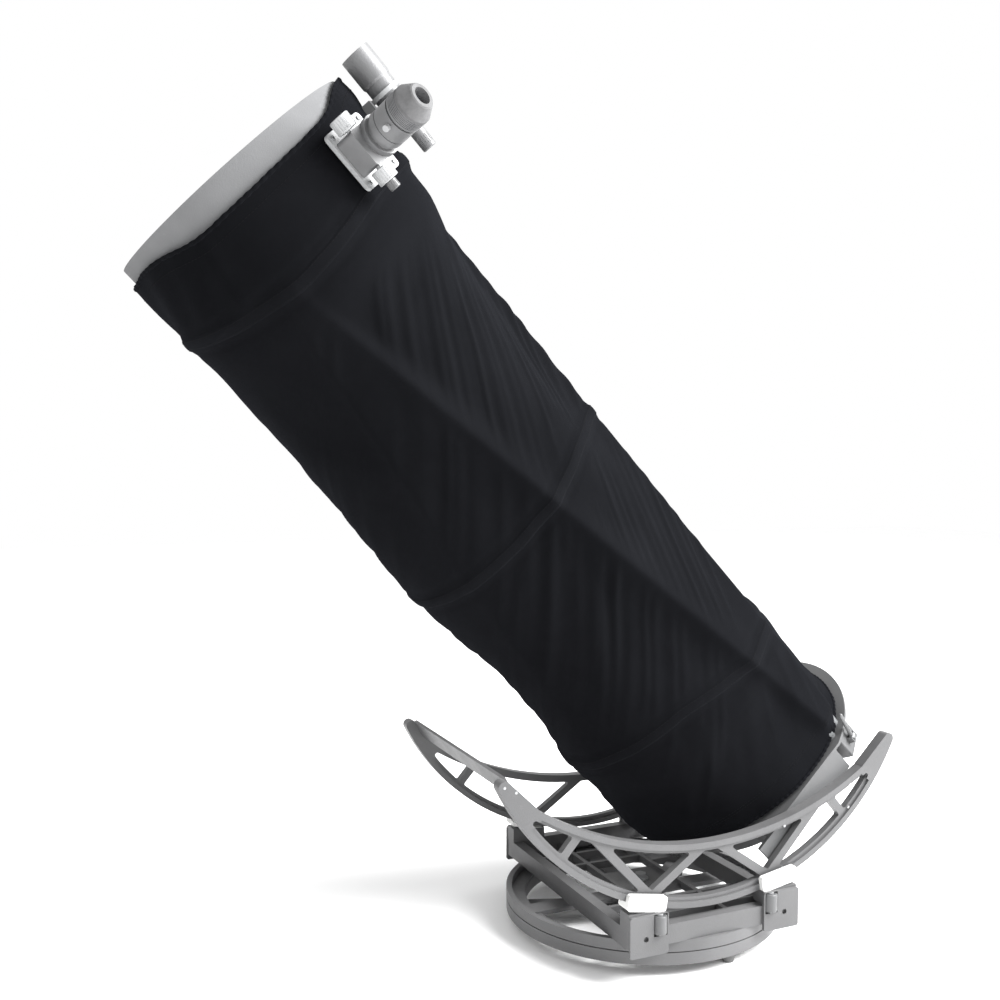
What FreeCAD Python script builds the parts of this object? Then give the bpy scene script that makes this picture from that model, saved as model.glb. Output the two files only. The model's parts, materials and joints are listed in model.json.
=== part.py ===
"""Truss-tube dobsonian telescope with a stretched light shroud.

Units are millimetres. +Z is up and the floor is Z = 0, with the azimuth axis on
the Z axis. The tube swings in the XZ plane about the altitude axis, which runs
along Y, and at rest it points up and towards -X.
"""
import FreeCAD, Part
import math
import os

from FreeCAD import Vector

# ---- ground ring, rocker ring and feet ----
RING_R = 298.0
RING_RIM = 42.0
RING_RIM_UPPER = 12.0
FOOT_R = 11.0
FOOT_TOP_R = 18.0
FOOT_H = 24.0
FOOT_CIRCLE_R = 270.0
FOOT_HOLE_R = 4.5
FOOT_ANGLES = (-80.0, 40.0, 160.0)
GROUND_Z0 = FOOT_H
GROUND_Z1 = 48.0
ROCKER_RING_Z0 = 50.0
ROCKER_RING_Z1 = 72.0
GLIDE_Z1 = 49.7
GLIDE_ANGLES = (-20.0, 100.0, 220.0)
WEB_T = 10.0
SPOKE_W = 44.0
HUB_R = 46.0
PIVOT_R = 8.0
PIVOT_CLEARANCE = 0.05

# ---- rocker frame ----
FRAME_X = 196.0
FRAME_Y = 290.0
FRAME_WALL = 24.0
FRAME_Z0 = ROCKER_RING_Z1
FRAME_Z1 = 110.0
RIB_T = 10.0
RIB_Z1 = 88.0
BRACKET_X0 = 112.0
BRACKET_X1 = FRAME_X
BRACKET_Y0 = 254.0
BRACKET_Y1 = 290.0
SKIRT_T = 6.0
SKIRT_Z0 = 58.0

# ---- altitude bearings ----
ALT_AXIS_Z = 638.0
REST_ALTITUDE = 46.0
BEARING_R = 512.0
BEARING_Y = 265.0
BEARING_T = 25.0
BEARING_WEB_T = 15.0
INNER_ARC_R = 709.0
INNER_ARC_RISE = 325.0
TIP_ANGLE = 63.4
TIP_NOSE_R = 12.0
TIP_NOSE_ANGLE = 63.4
TIP_NOSE_AT = 500.0
TIP_BLEND_ANGLE = 53.5
BOLT_HEAD_R = 2.7
BOLT_HEAD_H = 3.2
BOLT_SINK = 3.5
TIP_BOLTS = ((TIP_NOSE_AT, -TIP_NOSE_ANGLE), (485.0, -61.0))
OUTER_RIM = 20.0
INNER_RIM = 18.0
STRUT_W = 17.0
OPENING_END_ANGLE = 53.0
APEX_ANGLE = 16.2
CROSS_ANGLE = 41.5
PAD_ANGLE = 18.4
SLIDE_GAP = 0.4

# ---- white saddles and side rollers ----
SADDLE_X = 155.0
SADDLE_Z = 158.0
SADDLE_L = 86.0
SADDLE_H = 31.0
SADDLE_TILT = 10.0
SADDLE_Y0 = 253.0
SADDLE_Y1 = 289.5
ROLLER_X = 130.0
ROLLER_R = 14.0
ROLLER_Y = BEARING_Y + BEARING_T / 2 + SLIDE_GAP + ROLLER_R
ROLLER_Z0 = 98.0
ROLLER_Z1 = 134.0
ROLLER_PIN_R = 4.0

# ---- tube: t runs along the optical axis from the altitude axis ----
TUBE_OFFSET = -17.0
CAGE_TOP_T = 1235.0
CAGE_BAND_H = 55.0
CAGE_R = 255.0
CAGE_R_IN = 243.0
CAGE_LIP_R = 214.0
CAGE_LOW_T0 = 1032.0
CAGE_LOW_T1 = 1056.0
CAGE_LOW_R = 257.0
POST_R = 8.0
POLE_R = 12.5
POLE_TOP_T = 1024.0
POLE_TOP_NODE_R = 240.0
POLE_LOW_T = -404.0
POLE_LOW_NODE_R = 244.0
POLE_END_SPREAD = 17.0
BOX_T0 = -455.0
BOX_T1 = -400.0
BOX_R = 234.0
BOX_WALL = 6.0
BOX_FLAT = BEARING_Y - BEARING_T / 2
FLANGE_R = 271.0
FLANGE_T = 6.0
CLAMP_R = 267.0
LEVER_R = 274.5
LEVER_T = -425.0
LEVER_HUB_L = 12.0
LEVER_PIN_R = 3.0
NODE_ANGLES_LOW = (60.0, 180.0, 300.0)
NODE_ANGLES_TOP = (0.0, 120.0, 240.0)

# ---- optics ----
MIRROR_R = 203.0
MIRROR_T = 40.0
MIRROR_BACK_T = -436.0
FOCAL_LENGTH = 1826.0
SECONDARY_R = 50.0
SECONDARY_T = 12.0
FOCUSER_T = 1113.0
FOCUSER_ANGLE = 60.0
HUB_T0 = 1176.0
HUB_T1 = 1222.0
SPIDER_HUB_R = 27.0
VANE_T = 1.6
VANE_ANGLES = (-28.0, 62.0, 152.0, 242.0)

# ---- shroud ----
SHROUD_T0 = -384.0
SHROUD_T1 = 1196.0
SHROUD_WALL = 3.0
SHROUD_STATIONS = (
    (SHROUD_T1, 262.5, 0.0), (1045.0, 264.5, 0.0), (720.0, 265.0, -7.0),
    (400.0, 268.0, -12.0), (-80.0, 270.0, -12.0), (SHROUD_T0, 267.0, -8.0))

# ---- focuser, measured from the optical axis outwards ----
PLATE_R0 = 265.5
PLATE_R1 = 273.5
PLATE_HALF = 55.0
BODY_R1 = 314.0
COLLAR_R1 = 324.0
DRAWTUBE_R = 29.0
DRAWTUBE_BORE = 25.5
DRAWTUBE_IN = 262.0
CLAMP_COLLAR_R0 = 334.0
CLAMP_COLLAR_R1 = 378.0
CLAMP_COLLAR_R = 33.5
FIT = 0.06
PINION_R0 = 304.0
PINION_Y = -38.0
PINION_SHAFT_R = 5.0
PINION_R = 8.7
PINION_HALF = 20.0
COARSE_R = 18.5
COARSE_IN = 37.5
COARSE_OUT = 62.5
FINE_R = 10.0
FINE_OUT = 79.0
FINE_SHAFT_R = 2.5
EYEPIECE_R = 34.5
EYEPIECE_TOP = 404.0
EYECUP_TOP = 432.0
EYECUP_R = 21.0

# ---- finder ----
FINDER_ANGLE = 27.0
FINDER_R0 = 314.0
FINDER_SHADE_R = 29.0
FINDER_TUBE_R = 26.5
FINDER_RING_R = 31.5
FINDER_FRONT_T = 1245.0
FINDER_STEP_T = 1190.0
FINDER_BACK_T = 1108.0
FINDER_EYE_R = 14.0
FINDER_EYE_T = 1043.0

ORIGIN = Vector(0, 0, 0)
UP = Vector(0, 0, 1)
ALONG_X = Vector(1, 0, 0)
ALONG_Y = Vector(0, 1, 0)


# ------------------------------------------------------------------ helpers
def fused(shapes):
    """One shape from overlapping or touching shapes."""
    first = shapes[0]
    if len(shapes) == 1:
        return first
    return first.fuse(shapes[1:]).removeSplitter()


def grouped(shapes):
    """Separate solids kept together in one compound."""
    return Part.makeCompound(shapes)


def rod(radius, height, base=ORIGIN, direction=UP):
    return Part.makeCylinder(radius, height, base, direction)


def annulus(outer, inner, low, high):
    """A flat ring about the local Z axis."""
    body = rod(outer, high - low, Vector(0, 0, low))
    return body.cut(rod(inner, high - low + 2, Vector(0, 0, low - 1)))


def block(x0, x1, y0, y1, z0, z1):
    low = Vector(min(x0, x1), min(y0, y1), min(z0, z1))
    return Part.makeBox(abs(x1 - x0), abs(y1 - y0), abs(z1 - z0), low)


def bar(start, end, radius):
    """A round bar between two points."""
    along = end - start
    return Part.makeCylinder(radius, along.Length, start, along)


def polar(radius, angle, height=0.0):
    turn = math.radians(angle)
    return Vector(radius * math.cos(turn), radius * math.sin(turn), height)


def turned(shape, angle, axis=UP, centre=ORIGIN):
    copy = shape.copy()
    copy.rotate(centre, axis, angle)
    return copy


def rounded(shape, radius, direction=UP):
    """Rounds the straight edges of a block that run along one direction."""
    edges = []
    for edge in shape.Edges:
        along = edge.Vertexes[-1].Point - edge.Vertexes[0].Point
        if along.Length > 1e-6 and abs(along.normalize().dot(direction)) > 0.999:
            edges.append(edge)
    return shape.makeFillet(radius, edges)


def on_tube(shape):
    """Turns a shape from tube axes (Z along the tube, X its upper side) to rest."""
    copy = shape.copy()
    copy.translate(Vector(TUBE_OFFSET, 0, 0))
    copy.rotate(ORIGIN, ALONG_Y, REST_ALTITUDE - 90.0)
    copy.translate(Vector(0, 0, ALT_AXIS_Z))
    return copy


def on_side(shape, angle):
    """Carries a shape built along local X to the stated lateral angle of the tube."""
    return on_tube(turned(shape, -angle))


# ------------------------------------------------------------------ ground
def ground_ring():
    rim = annulus(RING_R, RING_R - RING_RIM, GROUND_Z0, GROUND_Z1)
    parts = [rim, rod(HUB_R, GROUND_Z1 - GROUND_Z0, Vector(0, 0, GROUND_Z0))]
    for angle in FOOT_ANGLES:
        spoke = block(0, RING_R - RING_RIM / 2, -SPOKE_W / 2, SPOKE_W / 2, GROUND_Z0, GROUND_Z0 + WEB_T)
        parts.append(turned(spoke, angle))
    holes = [rod(FOOT_HOLE_R, 60, polar(FOOT_CIRCLE_R, angle, -5)) for angle in FOOT_ANGLES]
    return fused(parts).cut(holes + [rod(PIVOT_R, 60, Vector(0, 0, 10))])


def pivot_bolt():
    shank = rod(PIVOT_R, 86 - GROUND_Z0, Vector(0, 0, GROUND_Z0))
    head = rod(16, 8, Vector(0, 0, GROUND_Z0 - 8))
    washer = rod(17, 3, Vector(0, 0, 82.4))
    nut = Part.Face(Part.makePolygon([polar(13, 60 * k, 85.4) for k in range(7)])).extrude(Vector(0, 0, 10))
    return fused([shank, head, washer, nut])


def azimuth_glides():
    glides = []
    for angle in GLIDE_ANGLES:
        glide = block(RING_R - 38, RING_R - 14, -20, 20, GROUND_Z1, GLIDE_Z1)
        glides.append(turned(rounded(glide, 5), angle))
    return grouped(glides)


def rubber_feet():
    feet = []
    for angle in FOOT_ANGLES:
        foot = Part.makeCone(FOOT_R, FOOT_TOP_R, FOOT_H, polar(FOOT_CIRCLE_R, angle))
        feet.append(foot.cut(rod(FOOT_HOLE_R, 60, polar(FOOT_CIRCLE_R, angle, -5))))
    return grouped(feet)


# ------------------------------------------------------------------ rocker
def rocker_ring():
    hoop = annulus(RING_R, RING_R - RING_RIM_UPPER, ROCKER_RING_Z0, ROCKER_RING_Z1)
    web = annulus(RING_R - 2, RING_R - RING_RIM, ROCKER_RING_Z0, ROCKER_RING_Z0 + 6)
    hub = rod(HUB_R, ROCKER_RING_Z1 - ROCKER_RING_Z0, Vector(0, 0, ROCKER_RING_Z0))
    parts = [hoop, web, hub]
    for angle in range(0, 360, 90):
        spoke = block(0, RING_R - 6, -SPOKE_W / 2, SPOKE_W / 2, ROCKER_RING_Z0, ROCKER_RING_Z0 + WEB_T)
        parts.append(turned(spoke, angle))
    return fused(parts).cut(rod(PIVOT_R + PIVOT_CLEARANCE, 60, Vector(0, 0, 30)))


def rocker_frame():
    outer = rounded(block(-FRAME_X, FRAME_X, -FRAME_Y, FRAME_Y, FRAME_Z0, FRAME_Z1), 6)
    inner = block(-FRAME_X + FRAME_WALL, FRAME_X - FRAME_WALL, -FRAME_Y + FRAME_WALL,
                  FRAME_Y - FRAME_WALL, FRAME_Z0 - 1, FRAME_Z1 + 1)
    parts = [outer.cut(inner)]
    inside_x = FRAME_X - FRAME_WALL / 2
    inside_y = FRAME_Y - FRAME_WALL / 2
    for y in (-190.0, -120.0, 120.0, 190.0):
        parts.append(block(-inside_x, inside_x, y - RIB_T / 2, y + RIB_T / 2, FRAME_Z0, RIB_Z1))
    for x in (-70.0, 70.0):
        parts.append(block(x - RIB_T / 2, x + RIB_T / 2, -inside_y, inside_y, FRAME_Z0, RIB_Z1))
    parts.append(block(-70, 70, -60, 60, FRAME_Z0, FRAME_Z0 + 10))
    pivot_hole = rod(PIVOT_R + PIVOT_CLEARANCE, 60, Vector(0, 0, 50))
    return fused(parts).cut(four_corners(roller_pocket) + [pivot_hole])


def saddle_outline(y0, y1, grow=0.0):
    """The tilted round-cornered plate that cradles a bearing, for the +X, +Y corner."""
    half = SADDLE_L / 2 + grow
    high = SADDLE_H / 2 + grow
    plate = block(SADDLE_X - half, SADDLE_X + half, y0, y1, SADDLE_Z - high, SADDLE_Z + high)
    plate = rounded(plate, 6.0, ALONG_Y)
    return turned(plate, -SADDLE_TILT, ALONG_Y, Vector(SADDLE_X, 0, SADDLE_Z))


def bearing_clearance():
    """The space that the rim of a bearing sweeps, for the +Y side."""
    centre = Vector(0, BEARING_Y - BEARING_T / 2 - SLIDE_GAP, ALT_AXIS_Z)
    return Part.makeCylinder(BEARING_R + SLIDE_GAP, BEARING_T + 2 * SLIDE_GAP, centre, ALONG_Y)


def roller_pocket():
    return rod(ROLLER_R + 1.5, ROLLER_Z1 + 3 - 94.0, Vector(ROLLER_X, ROLLER_Y, 94.0))


def corner_saddle():
    saddle = saddle_outline(SADDLE_Y0, SADDLE_Y1)
    inner_lip = Part.makeCylinder(BEARING_R + 4.0, 12, Vector(0, SADDLE_Y0 - 2, ALT_AXIS_Z), ALONG_Y)
    return saddle.cut([bearing_clearance(), inner_lip, roller_pocket()])


def corner_bracket():
    post = block(BRACKET_X0 + 4, BRACKET_X1, BRACKET_Y0, BRACKET_Y1, FRAME_Z1, 142.0)
    skirt = block(BRACKET_X0, BRACKET_X1 + 1, BRACKET_Y1, BRACKET_Y1 + SKIRT_T, SKIRT_Z0, 138.0)
    skirt = rounded(skirt, 5.0, ALONG_Y)
    bracket = fused([post, skirt])
    sweep = Part.makeCylinder(BEARING_R + 1.5, 60, Vector(0, BRACKET_Y0 - 5, ALT_AXIS_Z), ALONG_Y)
    outline = saddle_outline(BRACKET_Y0 - 5, SADDLE_Y1 + 0.5, 0.02)
    cable_hole = rod(5.5, 30, Vector(162, 285, 92), ALONG_Y)
    return bracket.cut([sweep, outline, roller_pocket(), cable_hole])


def four_corners(make):
    """Copies of a +X, +Y corner piece at all four corners."""
    corner = make()
    copies = []
    for flip_x in (False, True):
        for flip_y in (False, True):
            piece = corner.copy()
            if flip_x:
                piece = piece.mirror(ORIGIN, ALONG_X)
            if flip_y:
                piece = piece.mirror(ORIGIN, ALONG_Y)
            copies.append(piece)
    return copies


def guide_pin():
    pin = rod(ROLLER_PIN_R, ROLLER_Z1 + 3 - 94.0, Vector(ROLLER_X, ROLLER_Y, 94.0))
    cap = rod(7.0, 2.5, Vector(ROLLER_X, ROLLER_Y, ROLLER_Z1 + 0.5))
    return fused([pin, cap])


def guide_roller():
    roller = rod(ROLLER_R, ROLLER_Z1 - ROLLER_Z0, Vector(ROLLER_X, ROLLER_Y, ROLLER_Z0))
    roller = roller.makeFillet(2.5, [roller.Edges[0], roller.Edges[2]])
    return roller.cut(rod(ROLLER_PIN_R + 0.05, 60, Vector(ROLLER_X, ROLLER_Y, 90)))


# ------------------------------------------------------------------ bearings
def polar_xz(radius, angle):
    """A point at an angle from straight down, about the altitude axis."""
    turn = math.radians(angle)
    return Vector(radius * math.sin(turn), 0, -radius * math.cos(turn))


def inner_radius(angle, rim=0.0):
    """Distance from the altitude axis to the inner arc, which is eccentric."""
    across = INNER_ARC_RISE * math.cos(math.radians(angle))
    reach = (INNER_ARC_R + rim) ** 2 - INNER_ARC_RISE ** 2
    return math.sqrt(across ** 2 + reach) - across


def crescent_face(outer, rim, end_angle):
    """The region between an outer arc and the eccentric inner arc."""
    inner = [polar_xz(inner_radius(a, rim), a) for a in (end_angle, 0.0, -end_angle)]
    outer_arc = Part.Arc(polar_xz(outer, -end_angle), polar_xz(outer, 0), polar_xz(outer, end_angle))
    inner_arc = Part.Arc(inner[0], inner[1], inner[2])
    right = Part.LineSegment(polar_xz(outer, end_angle), inner[0])
    left = Part.LineSegment(inner[2], polar_xz(outer, -end_angle))
    edges = [outer_arc.toShape(), right.toShape(), inner_arc.toShape(), left.toShape()]
    return Part.Face(Part.Wire(edges))


def strut(start, end, width, thickness):
    """A flat strut between two points of the XZ plane, centred on Y = 0."""
    along = end - start
    side = Vector(-along.z, 0, along.x).normalize() * (width / 2)
    corners = [start - side, end - side, end + side, start + side, start - side]
    face = Part.Face(Part.makePolygon([c - Vector(0, thickness / 2, 0) for c in corners]))
    return face.extrude(Vector(0, thickness, 0))


def altitude_bearing(y):
    """A crescent with a rim all round and a zigzag of struts between its arcs."""
    depth = Vector(0, BEARING_T, 0)
    start = Vector(0, -BEARING_T / 2, 0)
    solid = crescent_face(BEARING_R, 0.0, TIP_ANGLE).extrude(depth)
    solid.translate(start)
    noses = []
    for side in (-1, 1):
        centre = polar_xz(TIP_NOSE_AT, side * TIP_NOSE_ANGLE) + start
        noses.append(Part.makeCylinder(TIP_NOSE_R, BEARING_T, centre, ALONG_Y))
        blend = polar_xz(inner_radius(TIP_BLEND_ANGLE) + TIP_NOSE_R, side * TIP_BLEND_ANGLE)
        noses.append(strut(polar_xz(TIP_NOSE_AT, side * TIP_NOSE_ANGLE), blend, 2 * TIP_NOSE_R, BEARING_T))
    solid = fused([solid] + noses)
    window = crescent_face(BEARING_R - OUTER_RIM, INNER_RIM, OPENING_END_ANGLE).extrude(depth)
    window.translate(start)
    struts = []
    for side in (-1, 1):
        apex = polar_xz(BEARING_R - 18, side * APEX_ANGLE)
        struts.append(strut(apex, polar_xz(inner_radius(0) + 4, side * 1.5), STRUT_W, 60))
        struts.append(strut(apex, polar_xz(inner_radius(39) + 4, side * 39.0), STRUT_W, 60))
        cross = side * CROSS_ANGLE
        cross_foot = polar_xz(inner_radius(cross) + 4, cross)
        struts.append(strut(polar_xz(BEARING_R - 6, cross), cross_foot, STRUT_W, 60))
    openings = window.cut(struts)
    softened = [rounded(opening, 4.0, ALONG_Y) for opening in openings.Solids]
    recess = crescent_face(BEARING_R - 12, 12.0, OPENING_END_ANGLE - 1).extrude(Vector(0, 5, 0))
    near_recess = recess.copy()
    near_recess.translate(start)
    far_recess = recess.copy()
    far_recess.translate(Vector(0, BEARING_T / 2 - 5, 0))
    outward = Vector(0, math.copysign(1, y), 0)
    sinks = []
    for radius, angle in TIP_BOLTS:
        floor = polar_xz(radius, angle) + outward * (BEARING_T / 2 - BOLT_SINK)
        sinks.append(Part.makeCylinder(BOLT_HEAD_R + 0.3, BOLT_SINK + 1, floor, outward))
    solid = solid.cut(softened + [near_recess, far_recess] + sinks)
    solid.translate(Vector(0, y, ALT_AXIS_Z))
    return solid


def tip_bars():
    """The flat bar that ties the two upper bearing tips together."""
    half = BEARING_Y - BEARING_T / 2
    bar_box = block(-22, 22, -half, half, -3, 3)
    upper = turned(bar_box, 60, ALONG_Y)
    upper.translate(polar_xz(486, -61.5) + Vector(0, 0, ALT_AXIS_Z))
    return upper


def bearing_bolts():
    """Cap screws in the bearing rims: into the tie bar and into the mirror box."""
    outer = BEARING_Y + BEARING_T / 2
    places = [(radius, angle, outer - BOLT_SINK) for radius, angle in TIP_BOLTS]
    places += [(BEARING_R - 16, angle, outer - 5) for angle in (20.5, 43.5)]
    places += [(inner_radius(angle) + 15.5, angle, outer - 5) for angle in (25.0, 48.0)]
    bolts = []
    for radius, angle, y in places:
        for side in (-1, 1):
            centre = polar_xz(radius, angle) + Vector(0, side * y, ALT_AXIS_Z)
            bolts.append(Part.makeCylinder(BOLT_HEAD_R, BOLT_HEAD_H, centre, Vector(0, side, 0)))
    return grouped(bolts)


# ------------------------------------------------------------------ mirror box
def side_limit(shape):
    """Trims a shape to the space between the two bearings."""
    return shape.common(block(-400, 400, -BOX_FLAT, BOX_FLAT, -600, 1500))


def mirror_box():
    """A shallow drum with two flat side plates that bolt to the bearings."""
    drum = annulus(BOX_R, BOX_R - BOX_WALL, BOX_T0, BOX_T1)
    parts = [drum]
    for side in (-1, 1):
        plate = block(-185, 84, side * (BOX_FLAT - 8), side * BOX_FLAT, BOX_T0, BOX_T1)
        parts.append(plate)
        for x in (-150.0, -75.0, 0.0, 70.0):
            reach = math.sqrt(BOX_R ** 2 - x ** 2) - 3
            parts.append(block(x - 4, x + 4, side * reach, side * (BOX_FLAT - 4), BOX_T0, BOX_T1))
    return on_tube(fused(parts).cut(clamp_blocks() + pole_bars()))


def box_flange():
    flange = side_limit(annulus(FLANGE_R, BOX_R - BOX_WALL, BOX_T1, BOX_T1 + FLANGE_T))
    return on_tube(flange.cut(pole_bars()))


def mirror_cell():
    """A three-armed welded cell with a ring, carried inside the drum."""
    low = BOX_T0
    high = BOX_T0 + 10
    parts = [annulus(130, 112, low, high), rod(34, 10, Vector(0, 0, low))]
    for k in range(3):
        arm = block(0, BOX_R - BOX_WALL + 1, -13, 13, low, high)
        parts.append(turned(arm, 120 * k + 30))
    holes = [rod(4.2, 40, polar(170, 120 * k + 30, low - 10)) for k in range(3)]
    cell = fused(parts).cut(holes).common(rod(BOX_R - BOX_WALL, 100, Vector(0, 0, low - 10)))
    return on_tube(grouped([cell] + mirror_clips()))


def primary_mirror():
    disc = rod(MIRROR_R, MIRROR_T, Vector(0, 0, MIRROR_BACK_T))
    disc = disc.makeChamfer(1.5, [disc.Edges[0], disc.Edges[2]])
    sag = MIRROR_R ** 2 / (4 * FOCAL_LENGTH)
    centre = MIRROR_BACK_T + MIRROR_T - sag + 2 * FOCAL_LENGTH
    return on_tube(disc.cut(Part.makeSphere(2 * FOCAL_LENGTH, Vector(0, 0, centre))))


def mirror_pads():
    """Soft pads between the cell and the back of the mirror."""
    pads = []
    low = BOX_T0 + 10
    for k in range(3):
        pads.append(rod(12, MIRROR_BACK_T - low, polar(120, 120 * k + 30, low)))
    return on_tube(grouped(pads))


def mirror_clips():
    """Three clips on the drum wall that keep the mirror in its cell."""
    clips = []
    drum = rod(BOX_R - BOX_WALL, 100, Vector(0, 0, BOX_T0))
    for k in range(3):
        post = block(MIRROR_R + 3, BOX_R, -10, 10, -430, -390)
        finger = block(MIRROR_R - 8, BOX_R, -10, 10, -394, -390)
        clips.append(turned(fused([post, finger]), 120 * k + 90).common(drum))
    return clips


def collimation_knob(k):
    """A star knob on a threaded stem under one arm of the cell."""
    at = polar(170, 120 * k + 30)
    stem = rod(4.15, 24, at + Vector(0, 0, BOX_T0 - 10))
    head = rod(17, 12, at + Vector(0, 0, BOX_T0 - 22))
    notches = [rod(4.5, 14, at + polar(19, 60 * n, BOX_T0 - 23)) for n in range(6)]
    return on_tube(fused([head.cut(notches), stem]))


def cooling_fan():
    """The square housing of the fan behind the mirror."""
    low = BOX_T0 - 25
    housing = rounded(block(-40, 40, -40, 40, low, BOX_T0), 5)
    housing = housing.cut(rod(37, 40, Vector(0, 0, low - 2)))
    back = BOX_T0 - 4
    parts = [housing, rod(13, 4, Vector(0, 0, back)), rod(3, 22, Vector(0, 0, low + 2))]
    for k in range(4):
        parts.append(turned(block(0, 39, -2, 2, back, BOX_T0), 90 * k + 45))
    return on_tube(fused(parts))


def fan_rotor():
    low = BOX_T0 - 23
    hub = rod(13, 17, Vector(0, 0, low))
    blades = []
    for k in range(7):
        blade = block(10, 35.5, -1.2, 1.2, low + 3, low + 15)
        blade = turned(blade, 32, ALONG_X, Vector(0, 0, low + 9))
        blades.append(turned(blade, k * 360.0 / 7))
    rotor = fused([hub] + blades)
    return on_tube(rotor.cut(rod(3.05, 60, Vector(0, 0, low - 5))))


# ------------------------------------------------------------------ truss
def pole_ends(k):
    """Pole k leans from a lower node to one of the two upper nodes beside it."""
    node = k // 2
    side = -1 if k % 2 == 0 else 1
    low = polar(POLE_LOW_NODE_R, -(NODE_ANGLES_LOW[node] + side * 4.0), POLE_LOW_T)
    high = polar(POLE_TOP_NODE_R, -(NODE_ANGLES_LOW[node] + side * (60.0 - 4.0)), POLE_TOP_T)
    return low, high


def pole_bars():
    return [bar(pole_ends(k)[0], pole_ends(k)[1], POLE_R) for k in range(6)]


def truss_pole(k):
    return on_tube(pole_bars()[k])


def pole_sockets():
    """The blocks at the upper nodes, bolted under the lower cage ring."""
    sockets = []
    for angle in NODE_ANGLES_TOP:
        body = rounded(block(222, 256, -33, 33, POLE_TOP_T, CAGE_LOW_T0), 4)
        wrap = rounded(block(222, 256, -33, 33, POLE_TOP_T - 34, POLE_TOP_T), 4)
        sockets.append(turned(fused([body, wrap]), -angle))
    return on_tube(grouped([socket.cut(pole_bars()) for socket in sockets]))


def clamp_block():
    """One clamp block, hollowed to seat against the drum, in its own radial frame."""
    body = rounded(block(BOX_R - 1, CLAMP_R, -31, 31, BOX_T0 + 4, BOX_T1), 3)
    return body.cut(rod(BOX_R, 200, Vector(0, 0, -500)))


def clamp_blocks():
    return [turned(clamp_block(), -angle) for angle in NODE_ANGLES_LOW]


def pole_clamps():
    """The clamp blocks at the lower nodes, each with a fork that carries a lever pin."""
    clamps = []
    for angle in NODE_ANGLES_LOW:
        parts = [clamp_block()]
        for y in (-LEVER_HUB_L / 2 - 4.3, LEVER_HUB_L / 2 + 0.3):
            parts.append(block(CLAMP_R - 1, LEVER_R + 5, y, y + 4, LEVER_T - 7, LEVER_T + 7))
        pin = rod(LEVER_PIN_R, LEVER_HUB_L + 8, Vector(LEVER_R, -LEVER_HUB_L / 2 - 4, LEVER_T), ALONG_Y)
        clamps.append(turned(fused(parts + [pin]), -angle))
    return on_tube(grouped([clamp.cut(pole_bars()) for clamp in clamps]))


def clamp_lever(k):
    """A cam lever on the pin of a clamp fork, with its handle closed along the truss."""
    hub = rod(LEVER_R - CLAMP_R - 0.4, LEVER_HUB_L, Vector(LEVER_R, -LEVER_HUB_L / 2, LEVER_T), ALONG_Y)
    handle = bar(Vector(LEVER_R, 0, LEVER_T), Vector(LEVER_R + 12, 0, LEVER_T + 66), 4.5)
    end = Part.makeSphere(4.5, Vector(LEVER_R + 12, 0, LEVER_T + 66))
    bore = rod(LEVER_PIN_R + 0.05, 40, Vector(LEVER_R, -20, LEVER_T), ALONG_Y)
    return on_side(fused([hub, handle, end]).cut(bore), NODE_ANGLES_LOW[k])


# ------------------------------------------------------------------ upper cage
def cage_top_ring():
    band = annulus(CAGE_R, CAGE_R_IN, CAGE_TOP_T - CAGE_BAND_H, CAGE_TOP_T)
    lip = annulus(CAGE_R - 2, CAGE_LIP_R, CAGE_TOP_T - 6, CAGE_TOP_T)
    foot = annulus(CAGE_R - 2, CAGE_LIP_R + 12, CAGE_TOP_T - CAGE_BAND_H, CAGE_TOP_T - CAGE_BAND_H + 6)
    return on_tube(fused([band, lip, foot]).cut(vane_solids()))


def cage_low_ring():
    return on_tube(annulus(CAGE_LOW_R, CAGE_LIP_R + 6, CAGE_LOW_T0, CAGE_LOW_T1))


def cage_posts():
    """Posts between the two rings, and the curved board that carries the focuser."""
    low = CAGE_LOW_T1
    high = CAGE_TOP_T - CAGE_BAND_H
    parts = []
    for angle in (0.0, 110.0, 155.0, 200.0, 245.0, 300.0):
        parts.append(rod(POST_R, high - low, polar(238, -angle, low)))
    board = annulus(CAGE_R, CAGE_R - 6, low, high)
    wedge = Part.makeCylinder(300, high - low, Vector(0, 0, low), UP, 62)
    board = board.common(turned(wedge, -FOCUSER_ANGLE - 18))
    mount = block(CAGE_R - 4, PLATE_R0, -44, 44, FOCUSER_T - 48, FOCUSER_T + 48)
    light_hole = rod(DRAWTUBE_R + 2, 80, Vector(220, 0, FOCUSER_T), ALONG_X)
    board = board.fuse(turned(mount, -FOCUSER_ANGLE)).cut(turned(light_hole, -FOCUSER_ANGLE))
    foot = block(CAGE_R - 4, FINDER_R0 - FINDER_RING_R - 0.5, -11, 11, 1112, 1172)
    return on_tube(grouped(parts + [board.fuse(turned(foot, -FINDER_ANGLE)).removeSplitter()]))


def vane_solids():
    """Four thin vanes that run off-centre from the ring to the sides of the hub."""
    hub = rod(SPIDER_HUB_R, 200, Vector(0, 0, HUB_T0 - 50))
    vanes = []
    for n, angle in enumerate(VANE_ANGLES):
        offset = SPIDER_HUB_R - 4.0 if n % 2 == 0 else -SPIDER_HUB_R + 4.0
        reach = math.sqrt(CAGE_R_IN ** 2 - (abs(offset) + VANE_T) ** 2)
        vane = block(10, reach, offset - VANE_T / 2, offset + VANE_T / 2, HUB_T0 + 2, HUB_T1 - 2)
        tab = block(reach - 14, reach - 2, offset - 5, offset + 5, HUB_T0 + 6, HUB_T1 - 6)
        vanes.append(turned(fused([vane, tab]).cut(hub), -angle))
    return vanes


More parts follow.
